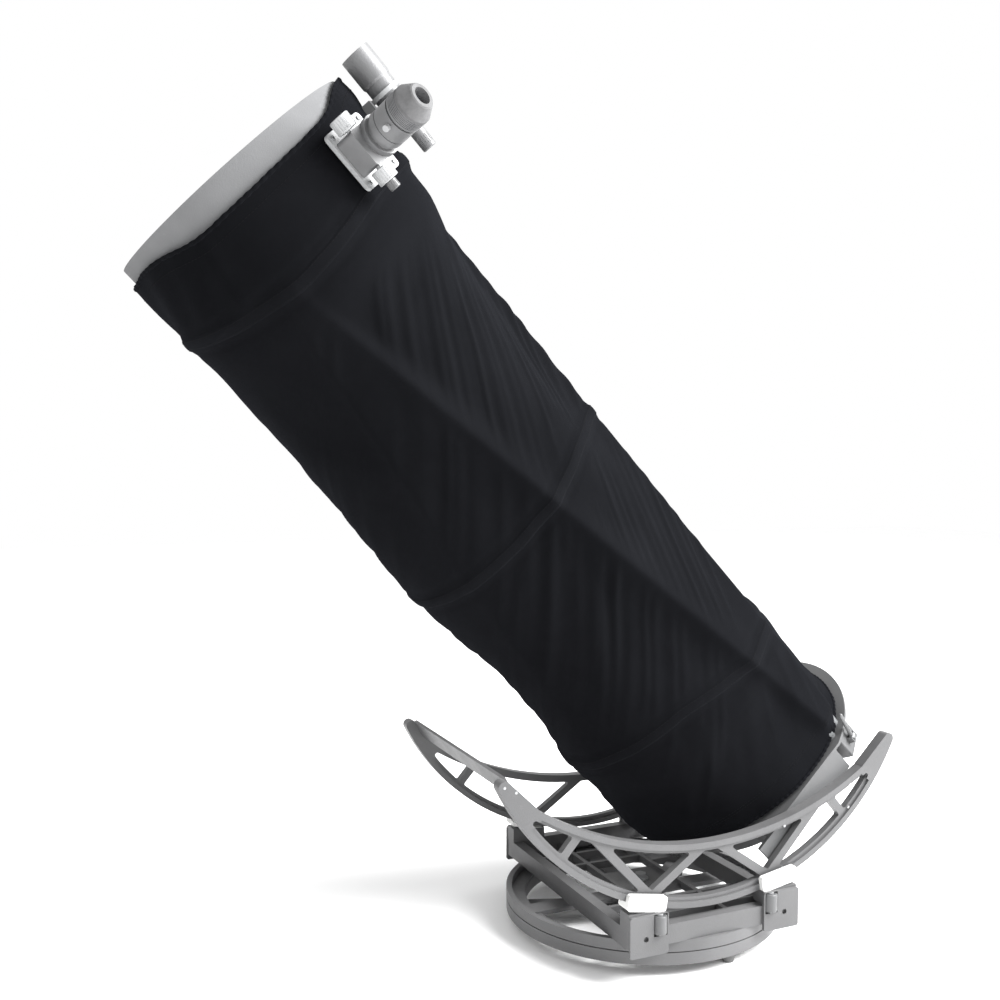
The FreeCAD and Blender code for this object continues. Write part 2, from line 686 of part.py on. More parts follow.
def secondary_hub():
    hub = rod(SPIDER_HUB_R, HUB_T1 - HUB_T0, Vector(0, 0, HUB_T0))
    hub = hub.makeFillet(3.0, [hub.Edges[0]])
    stem = rod(5, 14, Vector(0, 0, HUB_T0 - 12))
    return on_tube(grouped([fused([hub, stem])] + secondary_screws()))


def tilted_slab(near, far):
    """The layer between two depths behind the face of the diagonal mirror."""
    slab = block(-150, 150, -150, 150, -far, -near)
    slab = turned(slab, 135, ALONG_Y)
    slab.translate(Vector(0, 0, FOCUSER_T))
    return slab


def secondary_mirror():
    column = rod(SECONDARY_R, 300, Vector(0, 0, FOCUSER_T - 150))
    return on_side(column.common(tilted_slab(0, SECONDARY_T)), FOCUSER_ANGLE)


def secondary_holder():
    column = rod(SECONDARY_R - 3, 190, Vector(0, 0, FOCUSER_T - 140))
    return on_side(column.common(tilted_slab(SECONDARY_T, 130)), FOCUSER_ANGLE)


def secondary_screws():
    """Three push screws and the centre bolt that aim the diagonal mirror."""
    screws = [rod(2.2, 12, polar(16, 120 * k + 30, HUB_T0 - 12)) for k in range(3)]
    heads = [rod(4, 5, polar(16, 120 * k + 30, HUB_T1)) for k in range(3)]
    return screws + heads + [rod(5.5, 6, Vector(0, 0, HUB_T1))]


# ------------------------------------------------------------------ shroud
def shroud_skin(inset):
    """A smooth tube through round sections, each with its own radius and offset."""
    rings = []
    for height, radius, shift in SHROUD_STATIONS:
        circle = Part.Circle(Vector(shift, 0, height), UP, radius - inset)
        rings.append(Part.Wire(circle.toShape()))
    return Part.makeLoft(rings, True, True)


def shroud():
    skin = shroud_skin(0.0).cut(shroud_skin(SHROUD_WALL))
    reach = PLATE_HALF + 4
    plate = block(240, 300, -reach, reach, FOCUSER_T - reach, FOCUSER_T + reach)
    foot = block(240, 300, -16, 16, 1104, 1180)
    return on_tube(skin.cut([turned(plate, -FOCUSER_ANGLE), turned(foot, -FINDER_ANGLE)]))


# ------------------------------------------------------------------ focuser
def focuser_plate():
    plate = block(PLATE_R0, PLATE_R1, -PLATE_HALF, PLATE_HALF, FOCUSER_T - PLATE_HALF, FOCUSER_T + PLATE_HALF)
    plate = rounded(plate, 8, ALONG_X)
    return on_side(plate.cut(rod(DRAWTUBE_R + 2, 80, Vector(240, 0, FOCUSER_T), ALONG_X)), FOCUSER_ANGLE)


def focuser_body():
    body = block(PLATE_R1, BODY_R1, -50, 36, FOCUSER_T - 34, FOCUSER_T + 34)
    body = rounded(body, 7, ALONG_X)
    collar = rod(36, COLLAR_R1 - BODY_R1 + 2, Vector(BODY_R1 - 2, 0, FOCUSER_T), ALONG_X)
    bore = rod(DRAWTUBE_R + FIT, 120, Vector(240, 0, FOCUSER_T), ALONG_X)
    shaft = rod(PINION_SHAFT_R + FIT, 120, Vector(PINION_R0, PINION_Y, FOCUSER_T - 60))
    pocket_start = Vector(PINION_R0, PINION_Y, FOCUSER_T - PINION_HALF - 0.5)
    pocket = rod(PINION_R + 0.4, 2 * PINION_HALF + 1, pocket_start)
    return on_side(fused([body, collar]).cut([bore, shaft, pocket]), FOCUSER_ANGLE)


def plate_screws():
    screws = []
    for y in (-PLATE_HALF + 10, PLATE_HALF - 10):
        for z in (-PLATE_HALF + 10, PLATE_HALF - 10):
            screw = rod(4.2, 3.4, Vector(PLATE_R1, y, FOCUSER_T + z), ALONG_X)
            screws.append(screw.cut(rod(1.8, 4, Vector(PLATE_R1 + 1.4, y, FOCUSER_T + z), ALONG_X)))
    return on_side(grouped(screws), FOCUSER_ANGLE)


def drawtube():
    sleeve = rod(DRAWTUBE_R, CLAMP_COLLAR_R0 - DRAWTUBE_IN + 2, Vector(DRAWTUBE_IN, 0, FOCUSER_T), ALONG_X)
    collar_length = CLAMP_COLLAR_R1 - CLAMP_COLLAR_R0
    collar = rod(CLAMP_COLLAR_R, collar_length, Vector(CLAMP_COLLAR_R0, 0, FOCUSER_T), ALONG_X)
    bore = rod(DRAWTUBE_BORE, 200, Vector(200, 0, FOCUSER_T), ALONG_X)
    groove = annulus(CLAMP_COLLAR_R + 1, CLAMP_COLLAR_R - 1.2, 0, 2)
    groove = turned(groove, 90, ALONG_Y)
    groove.translate(Vector(CLAMP_COLLAR_R0 + 12, 0, FOCUSER_T))
    screw_hole = rod(3.05, 20, Vector(CLAMP_COLLAR_R1 - 12, -DRAWTUBE_R + 4, FOCUSER_T), Vector(0, -1, 0))
    return on_side(fused([sleeve, collar]).cut([bore, groove, screw_hole]), FOCUSER_ANGLE)


def clamp_screw():
    at = Vector(CLAMP_COLLAR_R1 - 12, -26.2, FOCUSER_T)
    stem = rod(3.0, 13, at, Vector(0, -1, 0))
    head = rod(5.5, 7, at + Vector(0, -9, 0), Vector(0, -1, 0))
    return on_side(fused([stem, head]), FOCUSER_ANGLE)


def knurled(radius, low, high, x, y, count):
    """A grip cylinder along the tube axis with fine grooves round it."""
    grip = rod(radius, high - low, Vector(x, y, low))
    grip = grip.makeChamfer(1.2, [grip.Edges[0], grip.Edges[2]])
    grooves = []
    for k in range(count):
        centre = Vector(x, y, low + 3) + polar(radius + 0.3, k * 360.0 / count)
        grooves.append(rod(1.0, high - low - 6, centre))
    return grip.cut(grooves)


def coarse_knobs():
    """Two knobs on one shaft with its drive roller; one knob is bored for the fine shaft."""
    shaft = rod(PINION_SHAFT_R, 2 * COARSE_IN + 4, Vector(PINION_R0, PINION_Y, FOCUSER_T - COARSE_IN - 2))
    roller = rod(PINION_R, 2 * PINION_HALF, Vector(PINION_R0, PINION_Y, FOCUSER_T - PINION_HALF))
    bore = rod(FINE_SHAFT_R + FIT, 24, Vector(PINION_R0, PINION_Y, FOCUSER_T - COARSE_OUT - 2))
    grips = []
    for side in (-1, 1):
        ends = sorted((side * COARSE_IN, side * COARSE_OUT))
        grips.append(knurled(COARSE_R, FOCUSER_T + ends[0], FOCUSER_T + ends[1], PINION_R0, PINION_Y, 24))
    return on_side(fused([shaft, roller] + grips).cut(bore), FOCUSER_ANGLE)


def fine_knob():
    grip = knurled(FINE_R, FOCUSER_T - FINE_OUT, FOCUSER_T - COARSE_OUT - 0.4, PINION_R0, PINION_Y, 18)
    shaft = rod(FINE_SHAFT_R, 24, Vector(PINION_R0, PINION_Y, FOCUSER_T - COARSE_OUT - 4))
    return on_side(fused([grip, shaft]), FOCUSER_ANGLE)


def turned_profile(points):
    """A solid of revolution about local X from radius points along X."""
    outline = [Vector(x, 0, r) for x, r in points]
    face = Part.Face(Part.makePolygon(outline + [outline[0]]))
    solid = face.revolve(ORIGIN, ALONG_X, 360)
    solid.translate(Vector(0, 0, FOCUSER_T))
    return solid


def eyepiece_body():
    low = CLAMP_COLLAR_R1 + 0.3
    bore = DRAWTUBE_BORE - FIT
    barrel = turned_profile([(low - 32, 20), (low - 32, bore), (low, bore), (low, 20)])
    body = turned_profile([(low, 20), (low, 31), (low + 3, EYEPIECE_R - 1),
                           (EYEPIECE_TOP, EYEPIECE_R - 1), (EYEPIECE_TOP, 20)])
    bands = []
    for k in range(6):
        start = low + 6 + 3 * k
        bands.append(turned_profile([(start, 30), (start, EYEPIECE_R), (start + 1.8, EYEPIECE_R),
                                     (start + 1.8, 30)]))
    return on_side(grouped([barrel, fused([body] + bands)]), FOCUSER_ANGLE)


def eyecup():
    profile = [(EYEPIECE_TOP, 20), (EYEPIECE_TOP, EYEPIECE_R), (EYEPIECE_TOP + 5, EYEPIECE_R),
               (EYECUP_TOP - 2, EYECUP_R + 2), (EYECUP_TOP, EYECUP_R), (EYECUP_TOP, EYECUP_R - 6),
               (EYECUP_TOP - 14, 14), (EYEPIECE_TOP + 4, 14), (EYEPIECE_TOP + 4, 20)]
    return on_side(turned_profile(profile), FOCUSER_ANGLE)


def eyepiece_lens():
    lens = rod(14, 5, Vector(EYEPIECE_TOP + 6, 0, FOCUSER_T), ALONG_X)
    field = rod(20, 5, Vector(CLAMP_COLLAR_R1 - 20, 0, FOCUSER_T), ALONG_X)
    return on_side(grouped([lens, field]), FOCUSER_ANGLE)


# ------------------------------------------------------------------ finder
def finder_profile(points):
    """A solid of revolution along the finder's own axis."""
    outline = [Vector(r, 0, t) for r, t in points]
    face = Part.Face(Part.makePolygon(outline + [outline[0]]))
    solid = face.revolve(ORIGIN, UP, 360)
    solid.translate(Vector(FINDER_R0, 0, 0))
    return solid


def finder_tube():
    wall = 2.5
    points = [(FINDER_SHADE_R, FINDER_FRONT_T), (FINDER_SHADE_R, FINDER_STEP_T),
              (FINDER_TUBE_R + 1, FINDER_STEP_T - 4), (FINDER_TUBE_R, FINDER_STEP_T - 4),
              (FINDER_TUBE_R, FINDER_BACK_T + 8), (FINDER_EYE_R + 1, FINDER_BACK_T - 14),
              (FINDER_EYE_R - 2, FINDER_BACK_T - 14), (FINDER_EYE_R - 2, FINDER_BACK_T - 8),
              (FINDER_TUBE_R - wall, FINDER_BACK_T + 9), (FINDER_TUBE_R - wall, FINDER_STEP_T),
              (FINDER_SHADE_R - wall, FINDER_STEP_T + 6), (FINDER_SHADE_R - wall, FINDER_FRONT_T)]
    return on_side(finder_profile(points), FINDER_ANGLE)


def finder_rings():
    """Two clamp rings and their foot, and the pale locking ring of the objective."""
    rings = []
    for low, high, outer in ((1116.0, 1124.0, 30.0), (1160.0, 1168.0, 30.0), (1146.0, 1154.0, FINDER_RING_R)):
        section = [(FINDER_TUBE_R, low), (outer, low), (outer, high), (FINDER_TUBE_R, high)]
        rings.append(finder_profile(section))
    tongue = block(FINDER_R0 - FINDER_RING_R - 0.5, FINDER_R0 - FINDER_TUBE_R - 3, -9, 9, 1114, 1170)
    tongue = tongue.cut(rod(FINDER_TUBE_R + 2, 100, Vector(FINDER_R0, 0, 1100)))
    return on_side(fused(rings + [tongue]), FINDER_ANGLE)


def finder_lens():
    lens = rod(FINDER_TUBE_R - 2.5, 5, Vector(FINDER_R0, 0, FINDER_STEP_T - 10))
    return on_side(lens, FINDER_ANGLE)


def finder_eyepiece():
    sleeve = finder_profile([(FINDER_EYE_R - 2.05, FINDER_BACK_T - 8.4),
                             (FINDER_EYE_R - 2.05, FINDER_BACK_T - 14.4),
                             (FINDER_EYE_R, FINDER_BACK_T - 14.4), (FINDER_EYE_R, FINDER_EYE_T + 2),
                             (FINDER_EYE_R - 2, FINDER_EYE_T), (9, FINDER_EYE_T), (9, FINDER_BACK_T - 8.4)])
    grooves = []
    for k in range(20):
        centre = Vector(FINDER_R0, 0, FINDER_EYE_T + 8) + polar(FINDER_EYE_R + 0.2, 18 * k)
        grooves.append(rod(0.9, 18, centre))
    return on_side(sleeve.cut(grooves), FINDER_ANGLE)


# ------------------------------------------------------------------ all nodes
def all_nodes():
    nodes = {
        "ground_ring": ground_ring(), "pivot_bolt": pivot_bolt(), "azimuth_glides": azimuth_glides(),
        "rubber_feet": rubber_feet(), "rocker_ring": rocker_ring(), "rocker_frame": rocker_frame(),
        "corner_brackets": grouped(four_corners(corner_bracket)),
        "bearing_saddles": grouped(four_corners(corner_saddle)),
        "guide_pins": grouped(four_corners(guide_pin)),
        "bearing_near": altitude_bearing(-BEARING_Y), "bearing_far": altitude_bearing(BEARING_Y),
        "tip_bar": tip_bars(), "bearing_bolts": bearing_bolts(),
        "mirror_box": mirror_box(), "box_flange": box_flange(), "mirror_cell": mirror_cell(),
        "primary_mirror": primary_mirror(), "mirror_pads": mirror_pads(),
        "fan_housing": cooling_fan(), "fan_rotor": fan_rotor(),
        "pole_sockets": pole_sockets(), "pole_clamps": pole_clamps(),
        "cage_top_ring": cage_top_ring(), "cage_low_ring": cage_low_ring(), "cage_posts": cage_posts(),
        "spider_vanes": on_tube(grouped(vane_solids())), "secondary_hub": secondary_hub(),
        "secondary_holder": secondary_holder(), "secondary_mirror": secondary_mirror(),
        "light_shroud": shroud(),
        "focuser_plate": focuser_plate(), "focuser_body": focuser_body(), "plate_screws": plate_screws(),
        "drawtube": drawtube(), "clamp_screw": clamp_screw(),
        "coarse_knobs": coarse_knobs(), "fine_knob": fine_knob(),
        "eyepiece_body": eyepiece_body(), "eyecup": eyecup(), "eyepiece_lens": eyepiece_lens(),
        "finder_tube": finder_tube(), "finder_rings": finder_rings(), "finder_lens": finder_lens(),
        "finder_eyepiece": finder_eyepiece(),
    }
    for k, roller in enumerate(four_corners(guide_roller)):
        nodes["guide_roller_%d" % (k + 1)] = roller
    for k in range(6):
        nodes["truss_pole_%d" % (k + 1)] = truss_pole(k)
    for k in range(3):
        nodes["collimation_knob_%d" % (k + 1)] = collimation_knob(k)
        nodes["clamp_lever_%d" % (k + 1)] = clamp_lever(k)
    return nodes


def main():
    os.makedirs("parts", exist_ok=True)
    for name, shape in all_nodes().items():
        shape.exportStep("parts/%s.step" % name)
        print("%-20s solids %2d valid %s" % (name, len(shape.Solids), shape.isValid()))


if __name__ == "__main__":
    main()
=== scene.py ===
"""Dobsonian telescope in a light shroud: cloth, finishes, floor, light and camera."""
import json
import math

import bpy
import numpy as np
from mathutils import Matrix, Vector


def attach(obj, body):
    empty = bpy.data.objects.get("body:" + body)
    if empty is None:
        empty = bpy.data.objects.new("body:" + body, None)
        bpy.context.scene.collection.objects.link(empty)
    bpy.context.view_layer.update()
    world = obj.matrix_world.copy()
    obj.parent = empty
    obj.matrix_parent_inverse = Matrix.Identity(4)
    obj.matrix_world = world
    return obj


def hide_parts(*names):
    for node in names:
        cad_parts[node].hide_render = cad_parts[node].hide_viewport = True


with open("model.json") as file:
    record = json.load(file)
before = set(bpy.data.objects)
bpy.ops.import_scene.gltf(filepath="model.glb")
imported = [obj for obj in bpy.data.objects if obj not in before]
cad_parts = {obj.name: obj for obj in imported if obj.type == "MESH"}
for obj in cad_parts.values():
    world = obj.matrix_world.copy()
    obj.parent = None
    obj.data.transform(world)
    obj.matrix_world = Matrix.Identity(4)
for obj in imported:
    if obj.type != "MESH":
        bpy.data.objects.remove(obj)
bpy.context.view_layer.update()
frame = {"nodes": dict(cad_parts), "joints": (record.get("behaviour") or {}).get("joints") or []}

bl_info = {
    "name": "Dobsonian telescope looks",
    "version": (1, 0, 0),
    "blender": (4, 5, 0),
    "location": "3D View > Sidebar > Telescope",
    "description": "Builds the stretched light shroud and the finishes of a dobsonian telescope",
    "category": "Object",
}

# ------------------------------------------------------------------ frame of the tube
JOINTS = {joint["name"]: joint for joint in frame["joints"]}
ALTITUDE_POINT = np.array(JOINTS["altitude"]["pos_m"])
UP_THE_TUBE = np.array(JOINTS["fan_spin"]["axis"])
ACROSS = np.array(JOINTS["altitude"]["axis"], float)
UPPER_SIDE = np.cross(ACROSS, UP_THE_TUBE)
AXIS_POINT = np.array(JOINTS["fan_spin"]["pos_m"])
AXIS_POINT = AXIS_POINT - UP_THE_TUBE * np.dot(AXIS_POINT - ALTITUDE_POINT, UP_THE_TUBE)
MM = 0.001
FOLD_SEED = 11

# Stations of the cloth: distance along the tube in mm against lateral angle in degrees.
# The lateral angle is 0 on the upper side of the tube and grows towards the near side.
TOP_HEM = ((0, 1226), (28, 1232), (44, 1222), (60, 1192), (78, 1184), (104, 1179), (130, 1178),
           (141, 1190), (150, 1200), (165, 1204), (182, 1196), (200, 1206), (300, 1222))
LOW_HEM = ((0, -390), (40, -390), (55, -389), (79, -387), (102, -384), (136, -378), (182, -390),
           (230, -388), (270, -388), (310, -390))
SEAM_TOP = ((0, 1060), (30, 1060), (66, 1055), (92, 1032), (113, 1022), (142, 1038), (180, 1071),
            (230, 1058), (300, 1050))
SEAM_MIDDLE = ((0, 462), (30, 462), (61, 460), (75, 447), (95, 435), (119, 419), (157, 411), (190, 415),
               (240, 430), (300, 455))
SEAM_LOW = ((0, -122), (30, -120), (57, -116), (73, -115), (89, -99), (115, -77), (150, -77), (190, -86),
            (240, -100), (300, -118))
# Radius of the cloth along its hanging underside, and its tight radius between the poles.
UNDERSIDE = ((-400, 276), (-360, 294), (-300, 300), (-250, 296), (-200, 292), (-140, 297), (-100, 301),
             (-50, 290), (0, 281), (100, 276), (200, 275), (287, 286), (360, 291), (440, 294),
             (520, 286), (600, 280), (680, 275), (760, 270), (840, 265), (1000, 261), (1050, 266),
             (1080, 269), (1120, 258), (1160, 258), (1200, 259), (1240, 259))
TIGHT = ((-400, 247), (-360, 241), (-300, 236), (-220, 237), (-160, 243), (-120, 236), (-80, 230),
         (0, 222), (150, 213), (300, 210), (400, 213), (455, 218), (500, 211), (650, 213), (800, 222),
         (920, 240), (955, 252), (978, 260), (1062, 260.5), (1090, 257), (1240, 257.5))
SEAMS = (SEAM_TOP, SEAM_MIDDLE, SEAM_LOW)

# The six poles: their ends along the tube, the radius there, the lateral angles of the low nodes, how far
# each pole stands from its node at both ends, and how far the cloth clears a pole's middle line.
POLE_LOW_T, POLE_TOP_T = -404.0, 1030.0
POLE_LOW_R, POLE_TOP_R = 256.0, 243.0
POLE_NODES = (60.0, 180.0, 300.0)
POLE_LOW_SPREAD, POLE_TOP_SPREAD = 4.0, 56.0
POLE_COVER = 16.0
CHORD_SHARPNESS = 80.0
NEAREST_CHORD = 60.0
# Runs along the tube over which the flats between the poles take over from the rings, and end again.
FLATS_START, FLATS_END = (-404, -340), (985, 1050)
TAUT_POWER = 30
# Lateral angle of the lowest line of the cloth, and how fast its sag dies out to both sides.
LOWEST_ANGLE, SAG_NARROWING, SAG_POWER = 189.0, 1.04, 0.9
# Seams: height and half width of the swell, the same of the dips beside it and how far away they lie,
# and the half width of the calm strip in which folds die out.
SWELL_HEIGHT, SWELL_WIDTH = 2.2, 14.0
DIP_HEIGHT, DIP_WIDTH, DIP_AWAY = 1.4, 7.0, 24
CALM_WIDTH = 26.0
# Waves of the gathers round each hem.
TOP_GATHERS, LOW_GATHERS = 96.0, 118.0
# The cage: where the cloth meets it, the post that shows through, and the cloth's radius on the plate.
CAGE_START = (1040, 1062)
POST_ANGLE, POST_WIDTH, POST_HEIGHT = 132.0, 3.2, 7.0
PLATE_ANGLE, PLATE_CLOTH_R = 60.0, 259.5
# Openings in the cloth: lateral angle, station, and half sizes round and along the tube in mm.
PLATE_OPENING = (PLATE_ANGLE, 1113.0, 44.0, 48.0)
FINDER_OPENING = (27.0, 1142.0, 12.0, 31.0)
# Mean radius of the cloth, which turns angles into lengths round it.
CLOTH_R = 262.0
# Families of folds: first place, last place and spacing in degrees, lean in degrees per mm, jitter, then
# the ranges of width, height, lowest t and highest t, and the side of the near ridge that they keep to.
FOLD_FAMILIES = (
    (96.0, 318.0, 7.6, 0.165, 2.6, (1.0, 2.4), (1.8, 5.8), (430, 560), (850, 1010), "lit"),
    (60.0, 190.0, 7.0, 0.17, 2.6, (0.8, 1.9), (1.0, 3.4), (-70, 90), (240, 430), "lit"),
    (110.0, 430.0, 7.2, 0.205, 3.0, (1.5, 3.4), (1.8, 5.6), (-60, 380), (640, 1010), "under"),
    (70.0, 250.0, 6.4, 0.205, 3.0, (1.2, 3.0), (1.5, 4.8), (-330, -60), (60, 400), "under"),
    (20.0, 360.0, 11.0, 0.12, 4.0, (1.5, 3.5), (0.8, 2.6), (-360, -250), (-210, -100), "all"),
)


def around(table, angle):
    """A closed curve round the tube: straight runs between stations, softened by averaging nearby angles."""
    stations = np.array(table, float)
    total = 0.0
    for shift, weight in ((-5.0, 0.25), (0.0, 0.5), (5.0, 0.25)):
        turned = (angle + shift) % 360.0
        total = total + weight * np.interp(turned, stations[:, 0], stations[:, 1], period=360.0)
    return total


def along(table, t):
    """A curve along the tube: straight runs between stations, softened by averaging nearby places."""
    stations = np.array(table, float)
    total = 0.0
    for shift, weight in ((-16.0, 0.25), (0.0, 0.5), (16.0, 0.25)):
        total = total + weight * np.interp(t + shift, stations[:, 0], stations[:, 1])
    return total


def smooth_step(low, high, value):
    """Zero below low, one above high, and an S between: 3s squared less 2s cubed, with s running from 0
    to 1. With low above high it falls instead."""
    s = np.clip((value - low) / (high - low), 0.0, 1.0)
    return s * s * (3.0 - 2.0 * s)


def angle_between(a, b):
    """The signed difference of two angles in degrees, from -180 to 180."""
    return (a - b + 180.0) % 360.0 - 180.0


def pole_places(t):
    """Angle and radius of the six poles at t: each runs straight from a low node to a top node."""
    share = np.clip((t - POLE_LOW_T) / (POLE_TOP_T - POLE_LOW_T), 0.0, 1.0)
    places = []
    for node in POLE_NODES:
        for side in (-1.0, 1.0):
            low = math.radians(node + side * POLE_LOW_SPREAD)
            top = math.radians(node + side * POLE_TOP_SPREAD)
            x = (1 - share) * POLE_LOW_R * math.cos(low) + share * POLE_TOP_R * math.cos(top)
            y = (1 - share) * POLE_LOW_R * math.sin(low) + share * POLE_TOP_R * math.sin(top)
            places.append((np.degrees(np.arctan2(y, x)) % 360.0, np.hypot(x, y) + POLE_COVER))
    return places


def over_poles(angle, t):
    """Radius of cloth stretched flat from pole to pole: the nearest of the six chords at that angle, taken
    as a power mean, where a chord lies at its distance over the cosine of the angle from its normal."""
    places = pole_places(t)
    total = np.zeros(np.broadcast(angle, t).shape)
    for k in range(6):
        a0, r0 = places[k]
        a1, r1 = places[(k + 1) % 6]
        x0, y0 = r0 * np.cos(np.radians(a0)), r0 * np.sin(np.radians(a0))
        x1, y1 = r1 * np.cos(np.radians(a1)), r1 * np.sin(np.radians(a1))
        nx, ny = y1 - y0, x0 - x1
        size = np.hypot(nx, ny)
        nx, ny = nx / size, ny / size
        distance = np.maximum(x0 * nx + y0 * ny, NEAREST_CHORD)
        facing = np.clip(nx * np.cos(np.radians(angle)) + ny * np.sin(np.radians(angle)), 1e-3, None)
        total = total + (facing / distance) ** CHORD_SHARPNESS
    return total ** (-1.0 / CHORD_SHARPNESS)


def crease(value, width):
    """A soft-footed crest with a fairly sharp top: one over the cosh of distance over width."""
    return 1.0 / np.cosh(np.clip(value / width, -30, 30))


def fold_list():
    """Hanging folds as (lean, place, width, height, lowest t, highest t, side), drawn family by family from
    a seeded generator."""
    rng = np.random.default_rng(FOLD_SEED)
    folds = []
    for first, last, spacing, lean, jitter, widths, heights, lows, highs, side in FOLD_FAMILIES:
        for place in np.arange(first, last, spacing):
            folds.append((lean, place + rng.uniform(-jitter, jitter), rng.uniform(*widths),
                          rng.uniform(*heights), rng.uniform(*lows), rng.uniform(*highs), side))
    return folds


FOLDS = fold_list()


def near_ridge(t):
    """Lateral angle of the pole that shows as the long ridge on the near side."""
    return pole_places(t)[1][0]


def folds_at(angle, t):
    """Height of all folds: each is a crest that leans steadily round the tube as it runs down,
    fades in and out along its length, and keeps to its own side of the near ridge."""
    ridge = near_ridge(t)
    total = np.zeros(np.broadcast(angle, t).shape)
    for lean, place, width, height, low, high, side in FOLDS:
        off = angle_between(angle, place - lean * t)
        window = smooth_step(low - 50, low + 60, t) * (1.0 - smooth_step(high - 60, high + 60, t))
        if side == "lit":
            window = window * smooth_step(-2.0, 12.0, angle_between(ridge, angle))
        elif side == "under":
            window = window * smooth_step(1.0, 10.0, angle_between(angle, ridge))
        total = total + height * window * (crease(off, width) - 0.45 * crease(off, 2.3 * width))
    return total


def ripple(angle, t):
    """Slow unevenness of the cloth: a few waves of different length and lean added together."""
    a = np.radians(angle)
    total = 1.3 * np.sin(3 * a + t / 170.0) + 0.9 * np.sin(5 * a - t / 97.0 + 1.7)
    total = total + 0.6 * np.sin(11 * a + t / 61.0 + 0.6) + 0.35 * np.sin(19 * a + t / 33.0)
    return total


def taut_radius(angle, t):
    """Radius of the cloth without its slack: the larger of its tight radius and the flats between the poles,
    joined as a power mean. Past the ends of the poles only the tight radius is left."""
    tight = along(TIGHT, t)
    poles = over_poles(angle, t)
    middle = smooth_step(*FLATS_START, t) * (1.0 - smooth_step(*FLATS_END, t))
    poles = poles * middle + tight * (1.0 - middle)
    return (tight ** TAUT_POWER + poles ** TAUT_POWER) ** (1.0 / TAUT_POWER)


def under_side(angle):
    """One on the lowest line of the cloth and zero past its sides: the cosine squared of the angle away."""
    away = np.radians(angle_between(angle, LOWEST_ANGLE)) * SAG_NARROWING
    return np.cos(np.clip(away, -math.pi / 2, math.pi / 2)) ** 2


def seams_sewn(radius, angle, t):
    """The radius with a bell-shaped swell at each seam and a smaller dip on both sides of it, and how close
    each place is to its nearest seam, from 0 to 1."""
    calm = 0.0
    for seam in SEAMS:
        distance = t - around(seam, angle)
        calm = np.maximum(calm, np.exp(-(distance / CALM_WIDTH) ** 2))
        swell = SWELL_HEIGHT * np.exp(-(distance / SWELL_WIDTH) ** 2)
        dip = DIP_HEIGHT * np.exp(-((np.abs(distance) - DIP_AWAY) / DIP_WIDTH) ** 2)
        radius = radius + swell - dip
    return radius, calm


def cage_and_hems(angle, t, low_side):
    """Four heights to add: the cage post as a leaning crest, a bell where the cloth bunches up above the
    finder, gathers as sine waves that die away from both hems, and slanting waves under the cage."""
    turn = np.radians(angle)
    cage = smooth_step(*CAGE_START, t)
    post = crease(angle_between(angle, POST_ANGLE - 0.03 * (t - 1120)), POST_WIDTH) * POST_HEIGHT * cage
    bulge = 6.0 * np.exp(-((t - 1200) / 30.0) ** 2) * np.exp(-(angle_between(angle, 17.0) / 24.0) ** 2)
    gather = 0.6 * np.sin(turn * LOW_GATHERS) * np.exp(-(t - around(LOW_HEM, angle)) / 22.0)
    gather = gather + 0.4 * np.sin(turn * TOP_GATHERS) * np.exp((t - around(TOP_HEM, angle)) / 16.0)
    waves = 2.6 * np.sin(turn * 17.0 + (t - 1100) / 22.0 + np.sin(turn * 5.0))
    waves = waves * cage * low_side * smooth_step(1060, 1110, t)
    return post, bulge, gather, waves


def cloth_radius(angle, t):
    """Radius of the cloth: taut over the truss, plus the sag of the underside, the swell of the seams, the
    cage and hem heights, the folds and a slow unevenness, which are calm near seams and stop below the
    cage. Round the focuser plate it's pressed down to the plate's own radius."""
    radius = taut_radius(angle, t)
    low_side = under_side(angle)
    hanging = np.maximum(along(UNDERSIDE, t) - radius, 0.0)
    radius, calm = seams_sewn(radius + hanging * low_side ** SAG_POWER, angle, t)
    for height in cage_and_hems(angle, t, low_side):
        radius = radius + height
    radius = radius + folds_at(angle, t) * (1.0 - 0.85 * calm) * (1.0 - smooth_step(915, 975, t))
    radius = radius + ripple(angle, t) * (1 - 0.5 * calm) * (1.0 - 0.8 * smooth_step(930, 975, t))
    plate = smooth_step(24.0, 14.0, np.abs(angle_between(angle, PLATE_ANGLE))) * smooth_step(1020, 1062, t)
    plate = plate * (1.0 - smooth_step(1165, 1195, t))
    pressed = radius * (1 - plate) + np.minimum(radius, PLATE_CLOTH_R) * plate
    return np.where(plate > 0, pressed, radius)


def tube_places(radius, angle, t):
    """World places in metres from radius, lateral angle and distance along the tube, in mm and degrees: the
    cosine share goes to the upper side, the sine share to the near side, and t up the tube."""
    turn = np.radians(angle)
    x = radius * np.cos(turn) * MM
    y = -radius * np.sin(turn) * MM
    t = np.broadcast_to(t, np.broadcast(x, t).shape) * MM
    return AXIS_POINT + x[..., None] * UPPER_SIDE + y[..., None] * ACROSS + t[..., None] * UP_THE_TUBE


# ------------------------------------------------------------------ mesh helpers
def grid_faces(rows, columns, close_rows=False, close_columns=False):
    """Corner numbers of the quads of a grid; either way round may close on itself."""
    i = np.arange(rows if close_rows else rows - 1)
    j = np.arange(columns if close_columns else columns - 1)
    i, j = np.meshgrid(i, j, indexing="ij")
    i1, j1 = (i + 1) % rows, (j + 1) % columns
    quads = np.stack([i * columns + j, i * columns + j1, i1 * columns + j1, i1 * columns + j], axis=-1)
    return quads.reshape(-1, 4)


